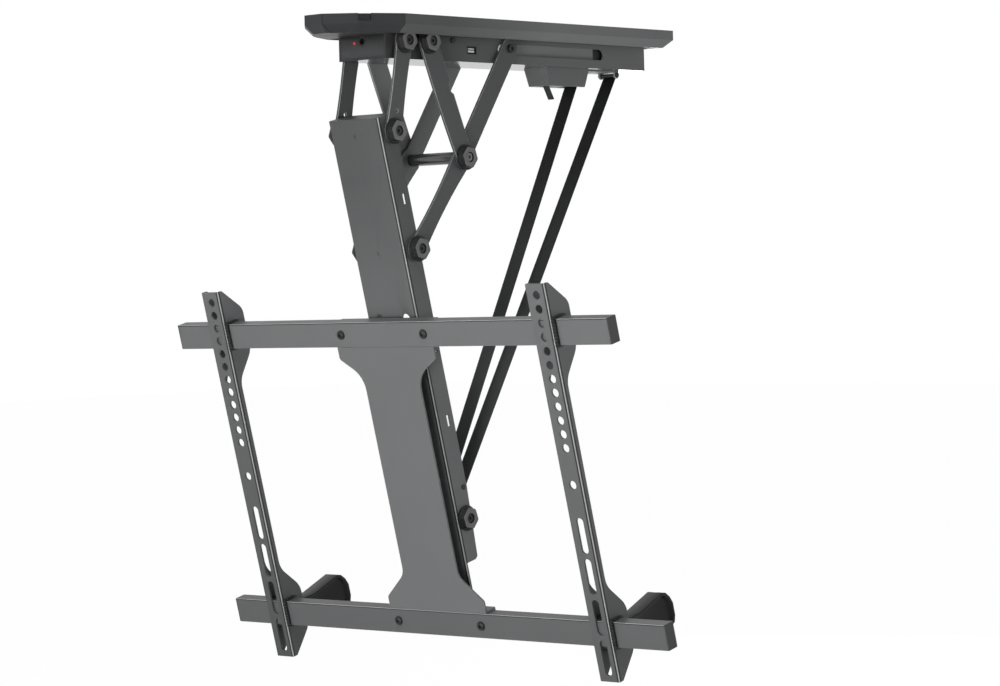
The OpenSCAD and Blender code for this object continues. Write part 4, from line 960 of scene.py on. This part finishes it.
def rib_row():
    """A row of ribs in the column's own frame, about the middle of a bar, at x = 0."""
    bare()
    bpy.ops.mesh.primitive_cube_add(size=1, location=(0, 0, 0))
    rib = bpy.context.object
    rib.scale = ((LIP_OUT - LIP_IN) * MM, RIB_PROUD * MM, RIB_STEP * RIB_SHARE * MM)
    rib.location = (
        (LIP_IN + LIP_OUT) / 2 * MM, (-RIB_FRONT - RIB_PROUD / 2) * MM,
        -RIB_STEP * (RIB_COUNT - 1) / 2 * MM)
    bpy.context.view_layer.update()
    settle(rib)
    open_up(rib)
    pick_faces(rib, lambda f: f.normal.y < -0.9)
    bpy.ops.transform.resize(value=(0.75, 1, 0.5))
    close_up()
    row = rib.modifiers.new("row", "ARRAY")
    row.count = RIB_COUNT
    row.use_relative_offset = False
    row.use_constant_offset = True
    row.constant_offset_displace = (0, 0, RIB_STEP * MM)
    bake(rib)
    round_off(rib, 0.15, segments=1)
    rib.data.materials.append(black)
    return rib


rib_form = rib_row()
for side, centre_x in BRACKET_X.items():
    rows = [
        copied(rib_form, "ribs", COLUMN @ Matrix.Translation((centre_x, 0, z * BAR_Z * MM)))
        for z in (-1, 1)
    ]
    ribs = joined(rows, side + "_insert_ribs")
    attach(ribs, side + "_screen_bracket")
    print(ribs.name, len(ribs.data.polygons), "faces")
bpy.data.objects.remove(rib_form)

# %% [markdown]
# ## Dark sheets behind the cable notches
# Each notch in the cover's cheek is closed from behind by a black sheet, a little wider than the
# plug in front of it, so that no light shows through the canopy: painted shade inside the notch.
# It is a bevelled cube.

# %% Notch shade sheets
SHADE_SHEET_T, SHADE_SHEET_BACK, SHADE_SHEET_SPARE = 1.2, 1.6, 6.0
plug_points = [v.co.copy() for v in nodes["cable_plugs"].data.vertices]
shade_sheets = []
for side in (-1, 1):
    own = [p for p in plug_points if p.x * side > 0]
    middle = sum(own, Vector()) / len(own)
    low_z, high_z = min(p.z for p in own), max(p.z for p in own)
    corner = max(own, key=lambda p: (Vector((p.x - middle.x, p.y - middle.y))).length)
    opposite = min(own, key=lambda p: (p.xy - (2 * middle.xy - corner.xy)).length)
    run = corner.xy - opposite.xy
    back = Vector((-run.y, run.x)).normalized()
    if back.x * side > 0:
        back = -back
    bare()
    bpy.ops.mesh.primitive_cube_add(size=1)
    shade_sheet = bpy.context.object
    shade_sheet.scale = (run.length + SHADE_SHEET_SPARE * MM, SHADE_SHEET_T * MM, high_z - low_z)
    shade_sheet.rotation_euler.z = math.atan2(run.y, run.x)
    shade_sheet.location = (
        middle.x + back.x * SHADE_SHEET_BACK * MM,
        middle.y + back.y * SHADE_SHEET_BACK * MM,
        (low_z + high_z) / 2)
    bpy.context.view_layer.update()
    settle(shade_sheet)
    round_off(shade_sheet, 0.2, segments=1)
    shade_sheet.data.materials.append(black)
    shade_sheets.append(shade_sheet)
notch_shade_sheets = joined(shade_sheets, "notch_shade_sheets")
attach(notch_shade_sheets, "ceiling_unit")
print(notch_shade_sheets.name, len(notch_shade_sheets.data.polygons), "faces")

# %% [markdown]
# ## Service socket
# The black socket in the housing's side shows two bright strips, a thin one over a thicker one.
# Each is a cube whose outer face is drawn in.

# %% Service socket
port_low, port_high = (Vector(c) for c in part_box("usb_port"))
port_middle, port_size = (port_low + port_high) / 2, port_high - port_low
STRIP_T, STRIP_SHARE = 0.0012, 0.62
strips = []
for height, share in ((0.2, 0.17), (-0.14, 0.3)):
    bare()
    bpy.ops.mesh.primitive_cube_add(size=1)
    strip = bpy.context.object
    strip.scale = (STRIP_T, STRIP_SHARE * port_size.y, share * port_size.z)
    strip.location = (
        port_high.x - STRIP_T, port_middle.y, port_middle.z + height * port_size.z)
    bpy.context.view_layer.update()
    settle(strip)
    open_up(strip)
    pick_faces(strip, lambda f: f.normal.x > 0.9)
    bpy.ops.transform.resize(value=(1, 0.94, 0.8))
    close_up()
    strip.data.materials.append(nylon)
    strips.append(strip)
contacts = joined(strips, "socket_contacts")
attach(contacts, "ceiling_unit")
print(contacts.name, len(contacts.data.polygons), "faces")

# %% [markdown]
# ## Ceiling feet
# A foot is a moulded shell, stiff at its rim and hollowed on both sides. The solid's own outline is
# right, so a merged copy of it is shaped: each side is inset to leave a rim, and then sunk.

# %% Ceiling feet
FOOT_RIM, FOOT_SINK = 3.2, 5.0
for side in ("left", "right"):
    foot = node_copy(side + "_foot", side + "_ceiling_foot")
    open_up(foot)
    for way in (-1, 1):
        pick_faces(foot, lambda f: f.normal.x * way > 0.99)
        inset(FOOT_RIM)
        pull(x=-way * FOOT_SINK)
        bpy.ops.transform.resize(value=(1, 0.96, 0.94))
    close_up()
    round_off(foot, 0.7, segments=2, angle=25)
    put_finish(foot, black)
    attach(foot, side + "_screen_bracket")
    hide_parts(side + "_foot")
    print(foot.name, len(foot.data.polygons), "faces")

# %% [markdown]
# ## Lifting belt
# The belt runs from the drum over a pin, down round the roller at the column's foot, and back up to
# its anchor. The two straight runs are thin woven straps: a grid whose rows are laid along a path
# in the side plane, with a UV map in belt widths for the weave, and thickness from a modifier.

# %% Belt path
BELT_W, BELT_T, FIT = 18.0, 1.6, 0.3
ROLLER_R, PIN_R, ANCHOR_PIN_R, STRAP_ROWS = 8.0, 3.0, 2.2, 40
FRONT_KEPT, REAR_KEPT = 0.0573, 0.0878
roller = Vector((joint_at["roller_spin"].y, joint_at["roller_spin"].z))
guide = Vector((joint_at["front_belt_swing"].y, joint_at["front_belt_swing"].z))
anchor = Vector((joint_at["rear_belt_swing"].y, joint_at["rear_belt_swing"].z))
WRAP_R = (ROLLER_R + FIT / 3 + BELT_T / 2) * MM
GUIDE_R = (PIN_R + FIT / 3 + BELT_T / 2) * MM
ANCHOR_R = (ANCHOR_PIN_R + FIT / 3 + BELT_T / 2) * MM


def tangent(start, centre, radius, side):
    """Point where a line from start touches a circle, on a side of it."""
    away = start - centre
    swing = side * math.acos(radius / away.length)
    reach = away * radius / away.length
    return centre + Vector((
        reach.x * math.cos(swing) - reach.y * math.sin(swing),
        reach.x * math.sin(swing) + reach.y * math.cos(swing),
    ))


def slack_end(end, start):
    """A point just short of a run's end, so that it stays clear of the wrap."""
    return end + (start - end).normalized() * FIT * MM


exit_point = tangent(roller, guide, GUIDE_R, 1)
front_tangent = tangent(exit_point, roller, WRAP_R, 1)
anchor_point = tangent(roller, anchor, ANCHOR_R, 1)
rear_tangent = tangent(anchor_point, roller, WRAP_R, -1)


def woven_strap(name, path, rows):
    """A strap of even width along a path of side-plane points, resampled to rows."""
    lengths = np.concatenate(([0.0], np.cumsum([(b - a).length for a, b in zip(path, path[1:])])))
    bare()
    bpy.ops.mesh.primitive_grid_add(x_subdivisions=8, y_subdivisions=rows, size=1)
    strap = bpy.context.object
    strap.name = name
    uv = strap.data.uv_layers[0].data
    for loop in strap.data.loops:
        spot = strap.data.vertices[loop.vertex_index].co
        uv[loop.index].uv = (spot.x + 0.5, (spot.y + 0.5) * lengths[-1] / (BELT_W * MM))
    for vertex in strap.data.vertices:
        along = (vertex.co.y + 0.5) * lengths[-1]
        k = min(int(np.searchsorted(lengths, along, side="right")) - 1, len(path) - 2)
        part = (along - lengths[k]) / (lengths[k + 1] - lengths[k])
        spot = path[k].lerp(path[k + 1], part)
        vertex.co = (vertex.co.x * BELT_W * MM, spot.x, spot.y)
    thick = strap.modifiers.new("thickness", "SOLIDIFY")
    thick.thickness = BELT_T * MM
    thick.offset = 0
    bake(strap)
    round_off(strap, 0.35, segments=2, angle=60)
    put_finish(strap, belt_cloth)
    return strap


# %% Belt stretches
# Name and body of each strap, its CAD node, its ends, and the share of its length left when folded
STRETCHES = (
    ("front_belt", "belt_front_run", exit_point, front_tangent, FRONT_KEPT),
    ("rear_belt", "belt_rear_run", anchor_point, rear_tangent, REAR_KEPT),
)
for body, node_name, start, end, kept in STRETCHES:
    strap = woven_strap(body, [start, slack_end(end, start)], STRAP_ROWS)
    way = (end - start).normalized()
    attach(strap, body)
    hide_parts(node_name)
    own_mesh(strap)
    print(strap.name, round((start - end).length, 4), "m long, of which", kept, "is left folded")

# %% [markdown]
# ## Floor
# The floor isn't part of the object. It is a pale plane well below the mount, nearly white to the
# camera and to mirrors, so that it runs into the backdrop.

# %% Floor
FLOOR_SIZE, FLOOR_Z, FLOOR_WHITE = 30, -1.0, 0.985
bare()
bpy.ops.mesh.primitive_plane_add(size=FLOOR_SIZE, location=(0, 0, FLOOR_Z))
floor = bpy.context.object
floor.name = "studio_floor"
paper = bpy.data.materials.new("studio_paper")
paper.use_nodes = True
sheet = paper.node_tree
sheet_shader = sheet.nodes["Principled BSDF"]
sheet_shader.inputs["Base Color"].default_value = (0.93, 0.93, 0.93, 1)
sheet_shader.inputs["Roughness"].default_value = 0.9
sheet_paths = sheet.nodes.new("ShaderNodeLightPath")
sheet_seen = sheet.nodes.new("ShaderNodeMath")
sheet_seen.operation = "MAXIMUM"
sheet_share = sheet.nodes.new("ShaderNodeMath")
sheet_share.operation = "MULTIPLY"
sheet_share.inputs[1].default_value = FLOOR_WHITE
sheet_white = sheet.nodes.new("ShaderNodeEmission")
sheet_mix = sheet.nodes.new("ShaderNodeMixShader")
sheet.links.new(sheet_paths.outputs["Is Camera Ray"], sheet_seen.inputs[0])
sheet.links.new(sheet_paths.outputs["Is Glossy Ray"], sheet_seen.inputs[1])
sheet.links.new(sheet_seen.outputs[0], sheet_share.inputs[0])
sheet.links.new(sheet_share.outputs[0], sheet_mix.inputs[0])
sheet.links.new(sheet_shader.outputs[0], sheet_mix.inputs[1])
sheet.links.new(sheet_white.outputs[0], sheet_mix.inputs[2])
sheet.links.new(sheet_mix.outputs[0], sheet.nodes["Material Output"].inputs["Surface"])
floor.data.materials.append(paper)
floor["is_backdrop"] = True

# %% [markdown]
# ## Size
# Blender must not change the size of the object. The last call takes the bounds of every shown
# piece, without the floor.

# %% Finish
bpy.context.view_layer.update()
low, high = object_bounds()
